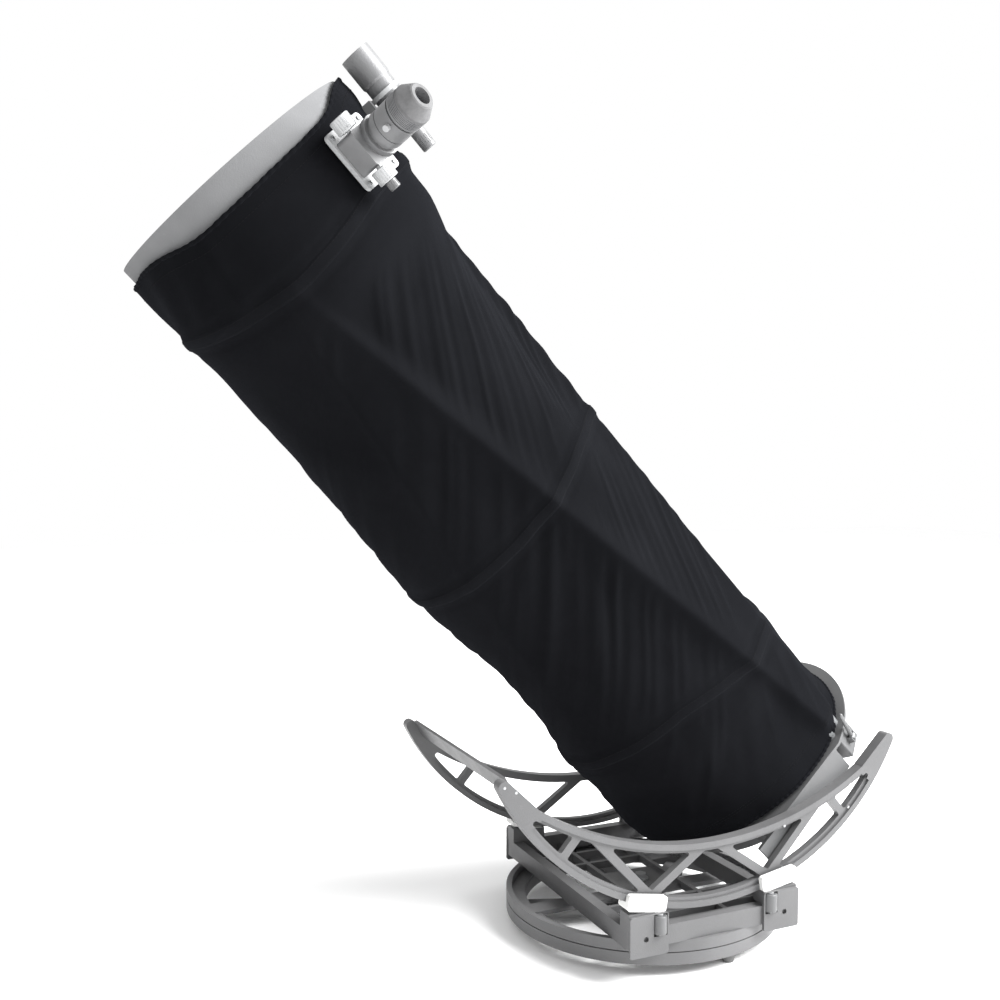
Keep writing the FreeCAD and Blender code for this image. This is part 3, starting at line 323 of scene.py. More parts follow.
def mesh_object(name, places, quads, smooth=True):
    """A mesh object at the origin from arrays of places and quads."""
    mesh = bpy.data.meshes.new(name)
    mesh.vertices.add(len(places))
    mesh.vertices.foreach_set("co", np.ascontiguousarray(places, np.float32).ravel())
    mesh.loops.add(quads.size)
    mesh.loops.foreach_set("vertex_index", quads.ravel().astype(np.int32))
    mesh.polygons.add(len(quads))
    mesh.polygons.foreach_set("loop_start", np.arange(0, quads.size, 4, dtype=np.int32))
    mesh.polygons.foreach_set("use_smooth", np.full(len(quads), smooth))
    mesh.update(calc_edges=True)
    mesh.validate()
    made = bpy.data.objects.new(name, mesh)
    bpy.context.scene.collection.objects.link(made)
    return made


def add_uv(made, angle, t, quads, stretch=1.0):
    """Lays the cloth's own map on the quads: metres round the tube against metres along it times stretch."""
    round_tube = CLOTH_R * MM * np.radians(np.broadcast_to(angle, t.shape))
    uv = np.stack([round_tube.ravel(), t.ravel() * MM * stretch], axis=-1)
    layer = made.data.uv_layers.new(name="cloth")
    layer.data.foreach_set("uv", uv[quads.ravel()].astype(np.float32).ravel())


def finish_piece(made, material, body="tube"):
    """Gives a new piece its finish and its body."""
    made.data.materials.clear()
    made.data.materials.append(look_of(material))
    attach(made, body)
    return made


# ------------------------------------------------------------------ materials
def look_of(name):
    """The finish made under this name."""
    return bpy.data.materials["look_" + name]


class Nodes:
    """A small builder for node trees: it adds nodes and links in reading order."""

    def __init__(self, name):
        self.material = bpy.data.materials.new("look_" + name)
        self.material.use_nodes = True
        self.tree = self.material.node_tree
        self.tree.nodes.clear()
        self.output = self.add("ShaderNodeOutputMaterial")
        self.shader = self.add("ShaderNodeBsdfPrincipled")
        self.link(self.shader.outputs["BSDF"], self.output.inputs["Surface"])
        self.coordinates = self.add("ShaderNodeTexCoord")

    def add(self, kind, **values):
        """A new node with these settings."""
        node = self.tree.nodes.new(kind)
        for key, value in values.items():
            setattr(node, key, value)
        return node

    def link(self, source, target):
        """Joins an output to an input."""
        self.tree.links.new(source, target)

    def scaled(self, scale, source="Object", turn=(0, 0, 0)):
        """Coordinates stretched by scale and turned."""
        mapping = self.add("ShaderNodeMapping")
        mapping.inputs["Scale"].default_value = scale if hasattr(scale, "__len__") else (scale,) * 3
        mapping.inputs["Rotation"].default_value = turn
        self.link(self.coordinates.outputs[source], mapping.inputs["Vector"])
        return mapping.outputs["Vector"]

    def noise(self, scale, detail=4.0, rough=0.55, vector=None, distortion=0.0):
        """Cloudy noise from 0 to 1."""
        node = self.add("ShaderNodeTexNoise")
        node.inputs["Scale"].default_value = scale
        node.inputs["Detail"].default_value = detail
        node.inputs["Roughness"].default_value = rough
        node.inputs["Distortion"].default_value = distortion
        self.link(vector or self.coordinates.outputs["Object"], node.inputs["Vector"])
        return node.outputs["Fac"]

    def cells(self, scale):
        """Distance to the nearest of many scattered points."""
        node = self.add("ShaderNodeTexVoronoi")
        node.inputs["Scale"].default_value = scale
        self.link(self.coordinates.outputs["Object"], node.inputs["Vector"])
        return node.outputs["Distance"]

    def wave(self, scale, vector, direction, distortion):
        """Soft bands across one direction."""
        node = self.add("ShaderNodeTexWave", wave_type="BANDS", bands_direction=direction)
        node.inputs["Scale"].default_value = scale
        node.inputs["Distortion"].default_value = distortion
        node.inputs["Detail"].default_value = 1.0
        self.link(vector, node.inputs["Vector"])
        return node.outputs["Fac"]

    def ramp(self, source, stops):
        """Colours or greys between stops."""
        node = self.add("ShaderNodeValToRGB")
        ramp = node.color_ramp
        while len(ramp.elements) < len(stops):
            ramp.elements.new(0.5)
        for element, (place, colour) in zip(ramp.elements, stops):
            element.position = place
            element.color = (*(colour if hasattr(colour, "__len__") else (colour,) * 3), 1.0)
        self.link(source, node.inputs["Fac"])
        return node.outputs["Color"]

    def math(self, operation, a, b):
        """One sum on two numbers or outputs."""
        node = self.add("ShaderNodeMath", operation=operation)
        for socket, value in zip(node.inputs, (a, b)):
            if hasattr(value, "is_linked"):
                self.link(value, socket)
            else:
                socket.default_value = value
        return node.outputs["Value"]

    def mix(self, factor, a, b):
        """Colour a turning into colour b as factor rises. A colour mix has its sockets at 0, 6 and 7."""
        node = self.add("ShaderNodeMix", data_type="RGBA")
        for index, value in ((0, factor), (6, a), (7, b)):
            if hasattr(value, "is_linked"):
                self.link(value, node.inputs[index])
            elif hasattr(value, "__len__"):
                node.inputs[index].default_value = (*value, 1.0)
            else:
                node.inputs[index].default_value = value
        return node.outputs[2]

    def remap(self, source, low, high):
        """Zero to one made low to high."""
        node = self.add("ShaderNodeMapRange")
        node.inputs["To Min"].default_value = low
        node.inputs["To Max"].default_value = high
        self.link(source, node.inputs["Value"])
        return node.outputs["Result"]

    def facing_up(self):
        """How far the surface faces the sky, for dust."""
        geometry = self.add("ShaderNodeNewGeometry")
        parts = self.add("ShaderNodeSeparateXYZ")
        self.link(geometry.outputs["Normal"], parts.inputs["Vector"])
        node = self.add("ShaderNodeMapRange")
        node.inputs["From Min"].default_value = 0.35
        node.inputs["From Max"].default_value = 0.95
        self.link(parts.outputs["Z"], node.inputs["Value"])
        return node.outputs["Result"]

    def bump(self, height, distance, strength=1.0, below=None):
        """Relief of this many metres, on top of the relief below."""
        node = self.add("ShaderNodeBump")
        node.inputs["Strength"].default_value = strength
        node.inputs["Distance"].default_value = distance
        self.link(height, node.inputs["Height"])
        if below is not None:
            self.link(below, node.inputs["Normal"])
        return node.outputs["Normal"]

    def base(self, colour):
        """Sets the surface colour."""
        self.link(colour, self.shader.inputs["Base Color"])

    def rough(self, value):
        """Sets the roughness."""
        self.link(value, self.shader.inputs["Roughness"])

    def normal(self, value):
        """Sets the relief."""
        self.link(value, self.shader.inputs["Normal"])

    def settle(self, **values):
        """Sets plain numbers on the shader's own sockets."""
        for key, value in values.items():
            self.shader.inputs[key.replace("_", " ")].default_value = value


def shade(colour, factor):
    """The colour times a factor, held below white."""
    return tuple(min(1.0, c * factor) for c in colour)


DUST_COLOUR = (0.80, 0.79, 0.77)
SPECK_COLOUR = (0.62, 0.60, 0.57)
LINT_COLOUR = (0.045, 0.047, 0.052)
LINT_SHARE = 0.35 * 0.25
PEEL_SCALE = 420.0
TOOL_LINES = 900.0


def painted(name, colour, rough=0.42, grain=0.00035, specular=0.4, dust=0.035):
    """Sprayed paint: orange-peel grain, slow tone drift, small worn flecks and dust on top faces."""
    made = Nodes(name)
    drift = made.noise(5.5, 5.0, 0.6)
    flecks = made.noise(95.0, 6.0, 0.7)
    worn = made.ramp(flecks, ((0.60, 0.0), (0.72, 1.0)))
    tone = made.ramp(drift, ((0.28, shade(colour, 0.86)), (0.72, shade(colour, 1.10))))
    tone = made.mix(made.math("MULTIPLY", worn, 0.22), tone, shade(colour, 1.55))
    powder = made.noise(38.0, 5.0, 0.65)
    cover = made.math("MULTIPLY", made.facing_up(), made.math("MULTIPLY", powder, dust))
    made.base(made.mix(cover, tone, DUST_COLOUR))
    made.rough(made.remap(made.noise(26.0, 5.0, 0.6), rough - 0.09, rough + 0.13))
    scratch = made.noise(1.0, 3.0, 0.6, made.scaled((900.0, 42.0, 620.0), turn=(0.4, 0.2, 0.7)))
    peel = made.bump(made.noise(PEEL_SCALE, 2.0, 0.5), grain)
    made.normal(made.bump(scratch, 0.00008, 0.5, peel))
    made.settle(Specular_IOR_Level=specular)
    return made.material


def plastic(name, colour, rough=0.5, scale=600.0, coat=0.0, specular=0.45):
    """Moulded plastic: fine leathery pits, a slight mottling and rubbed places."""
    made = Nodes(name)
    mottled = made.noise(14.0, 4.0, 0.6)
    rubbed = made.ramp(made.noise(48.0, 5.0, 0.7), ((0.55, 0.0), (0.75, 1.0)))
    tone = made.ramp(mottled, ((0.3, shade(colour, 0.9)), (0.7, shade(colour, 1.08))))
    made.base(made.mix(made.math("MULTIPLY", rubbed, 0.12), tone, shade(colour, 1.35)))
    made.rough(made.remap(made.noise(60.0, 4.0, 0.6), rough - 0.08, rough + 0.10))
    made.normal(made.bump(made.cells(scale), 0.0002))
    made.settle(Coat_Weight=coat, Coat_Roughness=0.25, Specular_IOR_Level=specular)
    return made.material


def turned_metal(name, colour, axis, rough, metal):
    """Machined metal: fine tool lines round the part, drifting tone and a few finger marks."""
    made = Nodes(name)
    stretch = {"X": (TOOL_LINES, 12.0, 12.0), "Z": (12.0, 12.0, TOOL_LINES)}[axis]
    tool = made.noise(1.0, 2.0, 0.5, made.scaled(stretch, turn=(0.0, math.radians(44.0), 0.0)))
    marks = made.noise(34.0, 5.0, 0.65)
    made.base(made.ramp(marks, ((0.25, shade(colour, 0.86)), (0.8, shade(colour, 1.08)))))
    blend = made.math("ADD", made.math("MULTIPLY", tool, 0.6), made.math("MULTIPLY", marks, 0.4))
    made.rough(made.remap(blend, rough - 0.10, rough + 0.16))
    made.normal(made.bump(tool, 0.00006, 0.6))
    made.settle(Metallic=metal)
    return made.material


def rubber(name, colour):
    """Rubber: dull, finely pitted, greyed by dust in its pits."""
    made = Nodes(name)
    pits = made.cells(900.0)
    bloom = made.noise(40.0, 5.0, 0.7)
    made.base(made.ramp(bloom, ((0.3, shade(colour, 0.8)), (0.75, shade(colour, 1.35)))))
    made.rough(made.remap(bloom, 0.70, 0.90))
    made.normal(made.bump(pits, 0.00025))
    made.settle(Specular_IOR_Level=0.35)
    return made.material


def mirror_coat(name, colour):
    """Front-coated glass: a bright mirror with the faintest haze and specks of dust."""
    made = Nodes(name)
    specks = made.ramp(made.cells(240.0), ((0.0, 1.0), (0.035, 0.0)))
    haze = made.noise(9.0, 4.0, 0.6)
    made.base(made.mix(made.math("MULTIPLY", specks, 0.35), colour, SPECK_COLOUR))
    made.rough(made.math("ADD", made.remap(haze, 0.015, 0.06), made.math("MULTIPLY", specks, 0.3)))
    made.settle(Metallic=1.0)
    return made.material


def lens_painted_shade(name, colour):
    """A coated lens, deep and glossy with a faint tint: its colour is painted shade for the dark inside of
    its tube.
    """
    made = Nodes(name)
    tint = made.noise(30.0, 2.0, 0.5)
    # Painted shade: the lens is opaque, and its base colour is darkened to stand in for the shaded inside of
    # the tube behind it.
    made.base(made.ramp(tint, ((0.2, shade(colour, 0.12)), (0.8, shade(colour, 0.22)))))
    made.rough(made.remap(made.noise(70.0, 4.0, 0.6), 0.02, 0.08))
    made.settle(Coat_Weight=1.0, Coat_Roughness=0.03, IOR=1.6)
    return made.material


def knit(name, colour, weave=1.0):
    """Stretch knit: rows of small loops on the cloth's own map, rubbed tone, lint and a soft sheen."""
    made = Nodes(name)
    along_cloth = made.scaled((1.0, 1.0, 1.0), "UV")
    columns = made.wave(260.0, along_cloth, "X", 0.4)
    rows = made.wave(330.0, along_cloth, "Y", 0.4)
    loops = made.math("MULTIPLY", columns, rows)
    drift = made.noise(3.2, 5.0, 0.62, along_cloth, 0.6)
    rubbed = made.noise(30.0, 6.0, 0.7, along_cloth)
    fluff = made.ramp(made.noise(520.0, 3.0, 0.75, along_cloth), ((0.69, 0.0), (0.78, 1.0)))
    tone = made.ramp(drift, ((0.25, shade(colour, 0.78)), (0.75, shade(colour, 1.25))))
    tone = made.mix(made.math("MULTIPLY", rubbed, 0.16), tone, shade(colour, 1.6))
    tone = made.mix(made.math("MULTIPLY", loops, 0.25), tone, shade(colour, 0.45))
    made.base(made.mix(made.math("MULTIPLY", fluff, LINT_SHARE), tone, LINT_COLOUR))
    made.rough(made.remap(rubbed, 0.72, 0.92))
    fine = made.bump(loops, 0.00022 * weave, 0.8)
    slack = made.bump(made.noise(26.0, 3.0, 0.6, along_cloth, 0.8), 0.0016, 0.5, fine)
    made.normal(slack)
    made.settle(Sheen_Weight=0.025, Sheen_Roughness=0.42, Specular_IOR_Level=0.0)
    made.shader.inputs["Sheen Tint"].default_value = (0.78, 0.82, 0.95, 1.0)
    return made.material


# ------------------------------------------------------------------ settings
class ShroudSettings(bpy.types.PropertyGroup):
    """Sizes of the light shroud."""
    rows: bpy.props.IntProperty(name="Rows", description="Quads along the tube", default=330, min=40)
    columns: bpy.props.IntProperty(name="Columns", description="Quads round the tube", default=288, min=40)
    band_width: bpy.props.FloatProperty(name="Band width", description="Width of a seam band",
                                        default=0.026, unit="LENGTH", subtype="DISTANCE")
    band_rise: bpy.props.FloatProperty(name="Band rise", description="Thickness of a seam band",
                                       default=0.0014, unit="LENGTH", subtype="DISTANCE")
    hem_radius: bpy.props.FloatProperty(name="Hem radius", description="Half the thickness of a rolled hem",
                                        default=0.0028, unit="LENGTH", subtype="DISTANCE")
    stitch_length: bpy.props.FloatProperty(name="Stitch length", description="Length of one stitch",
                                           default=0.0052, unit="LENGTH", subtype="DISTANCE")
    flat_width: bpy.props.FloatProperty(name="Flat width", default=1.46, unit="LENGTH", subtype="DISTANCE",
                                        description="Width the cloth was cut to, before it was sewn up")
    flat_length: bpy.props.FloatProperty(name="Flat length", description="Length the cloth was cut to",
                                         default=1.62, unit="LENGTH", subtype="DISTANCE")


class FinishSettings(bpy.types.PropertyGroup):
    """Colours of the finishes."""
    cloth: bpy.props.FloatVectorProperty(name="Cloth", description="Colour of the shroud",
                                         subtype="COLOR", size=3, default=(0.0048, 0.0050, 0.0058),
                                         min=0, max=1)
    thread: bpy.props.FloatVectorProperty(name="Thread", description="Colour of the stitching",
                                          subtype="COLOR", size=3, default=(0.0066, 0.0068, 0.0075),
                                          min=0, max=1)
    frame_paint: bpy.props.FloatVectorProperty(name="Frame", description="Colour of the frame and the rings",
                                               subtype="COLOR", size=3, default=(0.084, 0.084, 0.086),
                                               min=0, max=1)
    bearing_paint: bpy.props.FloatVectorProperty(name="Bearings", description="Colour of the bearings",
                                                 subtype="COLOR", size=3, default=(0.080, 0.080, 0.082),
                                                 min=0, max=1)
    cage_paint: bpy.props.FloatVectorProperty(name="Cage", description="Colour of the cage and mirror box",
                                              subtype="COLOR", size=3, default=(0.092, 0.093, 0.095),
                                              min=0, max=1)
    silver: bpy.props.FloatVectorProperty(name="Silver", description="Colour of the bright knobs and collars",
                                          subtype="COLOR", size=3, default=(0.36, 0.365, 0.37),
                                          min=0, max=1)


class StageSettings(bpy.types.PropertyGroup):
    """Light, floor and camera."""
    key_power: bpy.props.FloatProperty(name="Key power", description="Power of the key light",
                                       default=900.0, unit="POWER")
    fill_power: bpy.props.FloatProperty(name="Fill power", description="Power of the fill light",
                                        default=5.0, unit="POWER")
    sky: bpy.props.FloatProperty(name="Surround", description="Brightness of the surround",
                                 default=1.0, min=0)
    focal_length: bpy.props.FloatProperty(name="Focal length", default=38.4,
                                          description="Camera focal length in millimetres")


# ------------------------------------------------------------------ operators
class TELESCOPE_OT_finishes(bpy.types.Operator):
    """Gives every carried-over node its finish"""
    bl_idname = "telescope.finishes"
    bl_label = "Finishes"

    def execute(self, context):
        look = context.scene.telescope_finish
        frame_paint, bearing_paint = tuple(look.frame_paint), tuple(look.bearing_paint)
        cage_paint, silver = tuple(look.cage_paint), tuple(look.silver)
        painted("ring_paint", shade(frame_paint, 1.05))
        painted("rocker_paint", frame_paint)
        painted("bearing_paint", bearing_paint, rough=0.38)
        painted("cage_paint", cage_paint, rough=0.45)
        painted("baffle_black", (0.045, 0.046, 0.050), rough=0.75, grain=0.0006, specular=0.25)
        painted("plate_paint", shade(silver, 0.80), rough=0.4)
        painted("rim_paint", shade(cage_paint, 1.55), rough=0.75, specular=0.08, dust=0.0)
        turned_metal("vane_metal", (0.80, 0.81, 0.82), "Z", rough=0.4, metal=0.3)
        plastic("saddle_white", (0.62, 0.62, 0.61), rough=0.42)
        plastic("glide_white", (0.80, 0.80, 0.77), rough=0.35)
        plastic("roller_nylon", (0.085, 0.086, 0.088), rough=0.4)
        plastic("eyepiece_black", (0.125, 0.126, 0.130), rough=0.36, coat=0.15)
        plastic("finder_black", (0.125, 0.126, 0.129), rough=0.40, coat=0.10)
        turned_metal("bright_steel", (0.34, 0.345, 0.35), "Z", rough=0.34, metal=0.7)
        turned_metal("knob_silver", silver, "Z", rough=0.36, metal=0.25)
        turned_metal("pole_metal", (0.16, 0.165, 0.17), "Z", rough=0.42, metal=0.5)
        turned_metal("focuser_metal", (0.150, 0.151, 0.154), "X", rough=0.40, metal=0.25)
        turned_metal("dark_knob", (0.110, 0.111, 0.113), "Z", rough=0.40, metal=0.25)
        rubber("black_rubber", (0.105, 0.105, 0.107))
        rubber("foot_rubber", (0.10, 0.10, 0.10))
        mirror_coat("mirror_coat", (0.92, 0.93, 0.94))
        # The lenses are painted dark as shade for the inside of their tubes.
        lens_painted_shade("lens_painted_shade", (0.55, 0.62, 0.78))
        wearers = {
            "ring_paint": ("ground_ring", "rocker_ring"),
            "rocker_paint": ("rocker_frame", "corner_brackets"),
            "bearing_paint": ("bearing_near", "bearing_far", "tip_bar"),
            "cage_paint": ("mirror_box", "box_flange", "pole_clamps", "pole_sockets", "cage_low_ring",
                           "cage_posts"),
            "rim_paint": ("cage_top_ring",),
            "vane_metal": ("spider_vanes",),
            "baffle_black": ("mirror_cell", "secondary_hub", "secondary_holder"),
            "plate_paint": ("focuser_plate",),
            "saddle_white": ("bearing_saddles",),
            "glide_white": ("azimuth_glides",),
            "eyepiece_black": ("eyepiece_body", "fan_housing", "fan_rotor"),
            "finder_black": ("finder_tube", "finder_eyepiece"),
            "bright_steel": ("pivot_bolt", "guide_pins", "bearing_bolts", "plate_screws"),
            "knob_silver": ("clamp_screw", "coarse_knobs", "finder_rings"),
            "dark_knob": ("fine_knob",),
            "focuser_metal": ("focuser_body", "drawtube"),
            "black_rubber": ("eyecup", "mirror_pads"),
            "foot_rubber": ("rubber_feet",),
            "mirror_coat": ("primary_mirror", "secondary_mirror"),
            "lens_painted_shade": ("eyepiece_lens", "finder_lens"),
        }
        chosen = {node: name for name, nodes in wearers.items() for node in nodes}
        numbered = {"guide_roller": "roller_nylon", "truss_pole": "pole_metal",
                    "collimation_knob": "knob_silver", "clamp_lever": "dark_knob"}
        for node, made in frame["nodes"].items():
            name = chosen.get(node) or numbered.get(node.rsplit("_", 1)[0])
            if name is None and node == "light_shroud":
                continue
            if name is None:
                raise RuntimeError("no finish for " + node)
            made.data.materials.clear()
            made.data.materials.append(look_of(name))
        return {"FINISHED"}


CROWDING = 26.0


def column_angles(count):
    """Lateral angles of the grid columns: even steps less a sine wave, which crowds them on the near side."""
    even = np.linspace(0.0, 1.0, count, endpoint=False)
    return (360.0 * even - CROWDING * np.sin(2 * math.pi * (even - 0.02)) + 15.0) % 360.0


def cut_out(quad_angles, quad_t, opening):
    """True for the quads in an opening. The distance round the tube is the cloth's mean radius times the
    angle from the opening's middle, and both distances have to be under its half sizes."""
    angle, station, half_round, half_along = opening
    side = CLOTH_R * np.radians(np.abs(angle_between(quad_angles, angle)).mean(1))
    return (side < half_round) & (np.abs(quad_t - station) < half_along)


class TELESCOPE_OT_shroud(bpy.types.Operator):
    """Builds the stretched cloth over the truss"""
    bl_idname = "telescope.shroud"
    bl_label = "Light shroud"

    def execute(self, context):
        sizes = context.scene.telescope_shroud
        knit("shroud_knit", tuple(context.scene.telescope_finish.cloth))
        # Each column runs straight up the tube from the low hem to the top hem, in even shares of the way.
        share = np.linspace(0.0, 1.0, sizes.rows)[:, None]
        angle = column_angles(sizes.columns)[None, :]
        low, high = around(LOW_HEM, angle), around(TOP_HEM, angle)
        t = low + share * (high - low)
        angle = np.broadcast_to(angle, t.shape)
        places = tube_places(cloth_radius(angle, t), angle, t).reshape(-1, 3)
        quads = grid_faces(sizes.rows, sizes.columns, close_columns=True)
        quad_angles, quad_t = angle.ravel()[quads], t.ravel()[quads].mean(1)
        holes = cut_out(quad_angles, quad_t, PLATE_OPENING) | cut_out(quad_angles, quad_t, FINDER_OPENING)
        quads = quads[~holes][:, ::-1]
        made = mesh_object("light_shroud_cloth", places, quads)
        add_uv(made, angle, t, quads)
        finish_piece(made, "shroud_knit")
        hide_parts("light_shroud")
        return {"FINISHED"}


BAND_ROWS, BAND_COLUMNS = 13, 420
BAND_DIP = 0.5
BAND_MAP_STRETCH = 1.3


def band_object(name, table, half, rise):
    """A flat band sewn over a seam: across its width it stands proud by the rise times one less the eighth
    power of the distance from its middle, and its edges dip into the cloth by that power."""
    angle = np.linspace(0.0, 360.0, BAND_COLUMNS, endpoint=False)[None, :]
    across = np.linspace(-1.0, 1.0, BAND_ROWS)[:, None]
    t = around(table, angle) + across * half
    lift = rise * (1.0 - across ** 8) - BAND_DIP * across ** 8
    radius = cloth_radius(np.broadcast_to(angle, t.shape), t) + lift
    quads = grid_faces(BAND_ROWS, BAND_COLUMNS, close_columns=True)[:, ::-1]
    made = mesh_object(name, tube_places(radius, angle, t).reshape(-1, 3), quads)
    add_uv(made, angle, t, quads, BAND_MAP_STRETCH)
    return made


class TELESCOPE_OT_seams(bpy.types.Operator):
    """Sews the three bands round the cloth"""
    bl_idname = "telescope.seams"
    bl_label = "Seam bands"

    def execute(self, context):
        sizes = context.scene.telescope_shroud
        knit("band_knit", shade(tuple(context.scene.telescope_finish.cloth), 1.12), weave=1.4)
        for name, table in (("seam_band_top", SEAM_TOP), ("seam_band_middle", SEAM_MIDDLE),
                            ("seam_band_low", SEAM_LOW)):
            made = band_object(name, table, sizes.band_width / MM / 2, sizes.band_rise / MM)
            finish_piece(made, "band_knit")
        return {"FINISHED"}


HEM_SIDES, HEM_COLUMNS = 12, 720


def hem_object(name, table, gathers, thick):
    """A rolled hem: a ring swept along the edge of the cloth. Its section is an ellipse, the sine of the
    turn along the tube and the cosine outwards, pinched by two sine waves that run round the tube."""
    angle = np.linspace(0.0, 360.0, HEM_COLUMNS, endpoint=False)[None, :]
    turn = np.linspace(0.0, 2 * math.pi, HEM_SIDES, endpoint=False)[:, None]
    pinch = 1.0 + 0.10 * np.sin(np.radians(angle) * gathers) + 0.06 * np.sin(np.radians(angle) * 31.0)
    middle = around(table, angle)
    t = middle + 1.35 * thick * np.sin(turn) * pinch
    radius = cloth_radius(angle, middle) - 0.6 + thick * np.cos(turn) * pinch * 0.8
    quads = grid_faces(HEM_SIDES, HEM_COLUMNS, close_rows=True, close_columns=True)[:, ::-1]
    made = mesh_object(name, tube_places(radius, angle, t).reshape(-1, 3), quads)
    add_uv(made, angle, t, quads)
    return made


class TELESCOPE_OT_hems(bpy.types.Operator):
    """Rolls the elastic hems at both ends of the cloth"""
    bl_idname = "telescope.hems"
    bl_label = "Elastic hems"

    def execute(self, context):
        sizes = context.scene.telescope_shroud
        thick = sizes.hem_radius / MM
        for name, table, gathers in (("elastic_hem_top", TOP_HEM, TOP_GATHERS),
                                     ("elastic_hem_low", LOW_HEM, LOW_GATHERS)):
            finish_piece(hem_object(name, table, gathers, thick), "band_knit")
        return {"FINISHED"}


# One stitch: places along it as shares of its length, with its thickness there, and its number of sides.
SPINDLE = ((-0.5, 0.15), (-0.32, 0.9), (0.0, 1.0), (0.32, 0.9), (0.5, 0.15))
SPINDLE_SIDES = 6
THREAD_R = 0.55
STITCH_STEP = 1.6
STITCH_INSET = 4.5


def stitch_rows(name, rows, length):
    """Rows of stitches, each a short spindle laid along the row: circles whose middles step along the row by
    length over radius, and whose size is the thread's radius times the share in the spindle's table."""
    stations = np.array(SPINDLE)
    corners = len(stations) * SPINDLE_SIDES
    turn = np.linspace(0.0, 2 * math.pi, SPINDLE_SIDES, endpoint=False)
    number = int(360.0 / STITCH_STEP)
    centre = np.arange(number)[:, None, None] * (360.0 / number)
    local = centre + np.degrees(stations[None, :, None, 0] * length / CLOTH_R)
    local = np.broadcast_to(local, (number, len(stations), SPINDLE_SIDES))
    ring = stations[None, :, None, 1] * THREAD_R
    first = (np.arange(number) * corners)[:, None, None]
    template = grid_faces(len(stations), SPINDLE_SIDES, close_columns=True)[None, :, :] + first
    all_places, all_quads = [], []
    for row, (table, shift, rise) in enumerate(rows):
        middle = around(table, local) + shift
        t = middle + ring * np.sin(turn)[None, None, :]
        radius = cloth_radius(local, middle) + rise + ring * np.cos(turn)[None, None, :]
        all_places.append(tube_places(radius, local, t).reshape(-1, 3))
        all_quads.append(template.reshape(-1, 4) + row * number * corners)
    return mesh_object(name, np.concatenate(all_places), np.concatenate(all_quads))


class TELESCOPE_OT_stitches(bpy.types.Operator):
    """Lays the double rows of stitches on the bands and above the hems"""
    bl_idname = "telescope.stitches"
    bl_label = "Stitches"

    def execute(self, context):
        sizes = context.scene.telescope_shroud
        thread = tuple(context.scene.telescope_finish.thread)
        plastic("shroud_thread", thread, rough=0.8, scale=2500.0, specular=0.05)
        length = sizes.stitch_length / MM
        half = sizes.band_width / MM / 2
        rise = sizes.band_rise / MM
        for name, table in (("seam_stitches_top", SEAM_TOP), ("seam_stitches_middle", SEAM_MIDDLE),
                            ("seam_stitches_low", SEAM_LOW)):
            rows = ((table, -half + STITCH_INSET, rise), (table, half - STITCH_INSET, rise))
            finish_piece(stitch_rows(name, rows, length), "shroud_thread")
        rows = ((LOW_HEM, 44.0, 0.2), (LOW_HEM, 38.0, 0.2), (TOP_HEM, -24.0, 0.2))
        finish_piece(stitch_rows("hem_stitches", rows, length), "shroud_thread")
        return {"FINISHED"}


class TELESCOPE_OT_soft_sizes(bpy.types.Operator):
    """Does nothing: the size the cloth was cut to is only held in the shroud settings"""
    bl_idname = "telescope.soft_sizes"
    bl_label = "Cloth sizes"

    def execute(self, context):
        return {"FINISHED"}


FLOOR_HALF, FLOOR_LINES, FLOOR_DROP = 14.0, 9, 0.0006
LIGHT_SIZE = 3.0
KEY_PLACE, KEY_AIM = (2.6, -2.2, 3.6), (-0.3, 0.0, 0.9)
FILL_PLACE, FILL_AIM = (-3.2, -3.0, 1.6), (-0.2, 0.0, 0.8)
CAMERA_PLACE = (-1.194, -2.012, 0.973)
CAMERA_TURN, CAMERA_RISE = math.radians(-24.2), math.radians(3.05)
CAMERA_SHIFT = (-0.0215, 0.0337)


def point(thing, direction):
    """Turns a lamp or the camera so that it looks along the direction."""
    thing.rotation_mode = "QUATERNION"
    thing.rotation_quaternion = direction.to_track_quat("-Z", "Y")


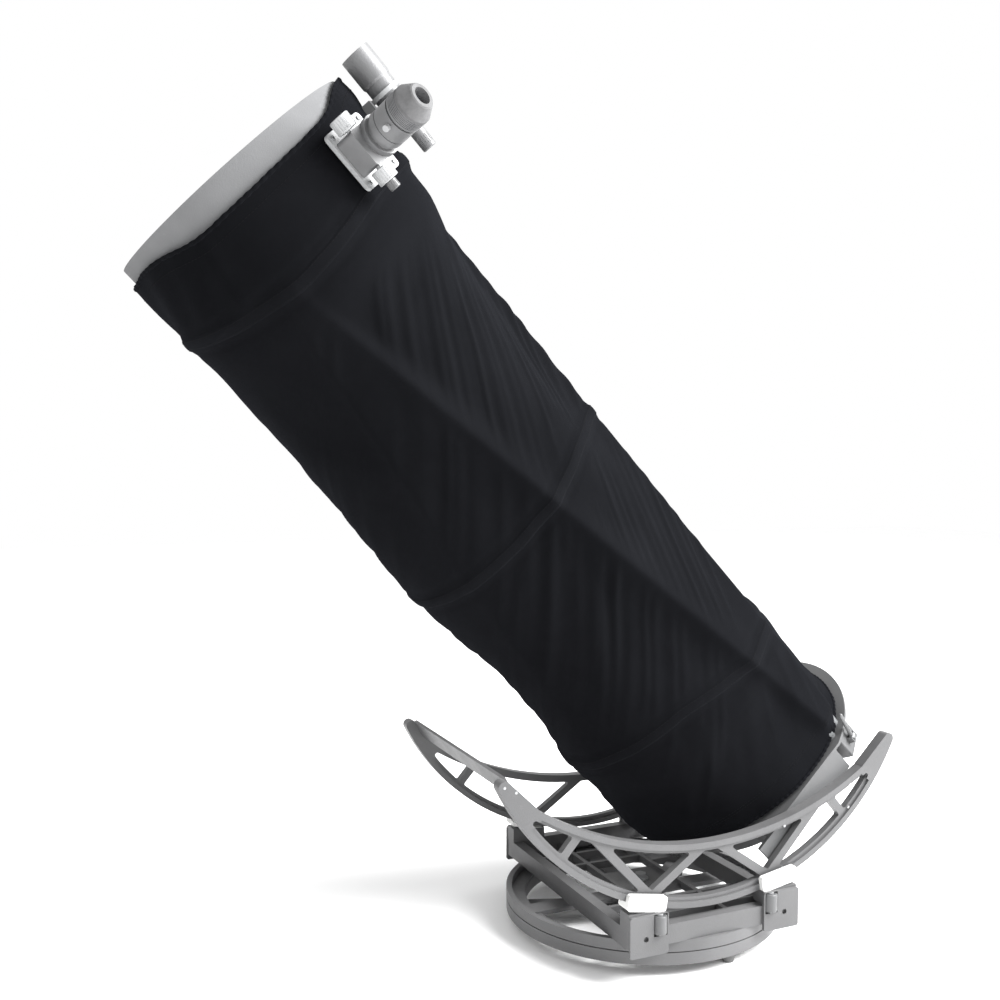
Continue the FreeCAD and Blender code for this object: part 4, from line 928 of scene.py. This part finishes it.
class TELESCOPE_OT_stage(bpy.types.Operator):
    """Sets the floor, the soft light and the camera"""
    bl_idname = "telescope.stage"
    bl_label = "Stage"

    def floor(self):
        """A flat square floor: even steps both ways, at one height just under the feet."""
        side = np.linspace(-FLOOR_HALF, FLOOR_HALF, FLOOR_LINES)
        x, y = np.meshgrid(side, side, indexing="ij")
        places = np.stack([x.ravel(), y.ravel(), np.full(x.size, -FLOOR_DROP)], -1)
        made = mesh_object("floor", places, grid_faces(FLOOR_LINES, FLOOR_LINES)[:, ::-1], smooth=False)
        if made.data.polygons[0].normal.z < 0:
            made.data.flip_normals()
        nodes = Nodes("floor_paper")
        tone = nodes.noise(1.4, 3.0, 0.5)
        nodes.base(nodes.ramp(tone, ((0.2, 0.985), (0.8, 0.998))))
        nodes.settle(Roughness=0.9, Specular_IOR_Level=0.1)
        made.data.materials.append(nodes.material)

    def light(self, name, place, aim, power):
        """A large square lamp that looks at its aim."""
        data = bpy.data.lights.new(name, "AREA")
        data.shape = "SQUARE"
        data.size = LIGHT_SIZE
        data.energy = power
        lamp = bpy.data.objects.new(name, data)
        bpy.context.scene.collection.objects.link(lamp)
        lamp.location = place
        point(lamp, Vector(aim) - Vector(place))

    def execute(self, context):
        stage = context.scene.telescope_stage
        self.floor()
        self.light("key_light", KEY_PLACE, KEY_AIM, stage.key_power)
        self.light("fill_light", FILL_PLACE, FILL_AIM, stage.fill_power)
        world = bpy.data.worlds.new("studio")
        world.use_nodes = True
        background = world.node_tree.nodes["Background"]
        background.inputs["Color"].default_value = (1.0, 1.0, 1.0, 1.0)
        background.inputs["Strength"].default_value = stage.sky
        context.scene.world = world
        context.scene.view_settings.view_transform = "Standard"
        data = bpy.data.cameras.new("camera")
        data.sensor_width = 36.0
        data.lens = stage.focal_length
        data.shift_x, data.shift_y = CAMERA_SHIFT
        data.clip_end = 60.0
        camera = bpy.data.objects.new("camera", data)
        context.scene.collection.objects.link(camera)
        camera.location = CAMERA_PLACE
        # Out towards the camera: the turn is taken from straight in front, the rise from level.
        back = Vector((math.sin(CAMERA_TURN) * math.cos(CAMERA_RISE),
                       -math.cos(CAMERA_TURN) * math.cos(CAMERA_RISE), math.sin(CAMERA_RISE)))
        point(camera, -back)
        context.scene.camera = camera
        return {"FINISHED"}


class TELESCOPE_PT_panel(bpy.types.Panel):
    """Lists the steps that build the telescope's looks"""
    bl_idname = "TELESCOPE_PT_panel"
    bl_label = "Telescope"
    bl_space_type = "VIEW_3D"
    bl_region_type = "UI"
    bl_category = "Telescope"

    def draw(self, context):
        scene = context.scene
        for group in (scene.telescope_shroud, scene.telescope_finish, scene.telescope_stage):
            box = self.layout.box()
            for key in group.bl_rna.properties.keys():
                if key not in ("rna_type", "name"):
                    box.prop(group, key)
        for operator in STEPS:
            self.layout.operator(operator.bl_idname)


SETTINGS = (ShroudSettings, FinishSettings, StageSettings)
STEPS = (TELESCOPE_OT_finishes, TELESCOPE_OT_shroud, TELESCOPE_OT_seams, TELESCOPE_OT_hems,
         TELESCOPE_OT_stitches, TELESCOPE_OT_soft_sizes, TELESCOPE_OT_stage)


def register():
    """Registers the settings, the steps and the panel."""
    for made in SETTINGS + STEPS + (TELESCOPE_PT_panel,):
        bpy.utils.register_class(made)
    bpy.types.Scene.telescope_shroud = bpy.props.PointerProperty(type=ShroudSettings)
    bpy.types.Scene.telescope_finish = bpy.props.PointerProperty(type=FinishSettings)
    bpy.types.Scene.telescope_stage = bpy.props.PointerProperty(type=StageSettings)


def unregister():
    """Takes them away again, last first."""
    del bpy.types.Scene.telescope_stage
    del bpy.types.Scene.telescope_finish
    del bpy.types.Scene.telescope_shroud
    for made in reversed(SETTINGS + STEPS + (TELESCOPE_PT_panel,)):
        bpy.utils.unregister_class(made)


def main():
    """Runs every step in order."""
    register()
    bpy.ops.telescope.finishes()
    bpy.ops.telescope.shroud()
    bpy.ops.telescope.seams()
    bpy.ops.telescope.hems()
    bpy.ops.telescope.stitches()
    bpy.ops.telescope.soft_sizes()
    bpy.ops.telescope.stage()


if __name__ == "__main__":
    main()
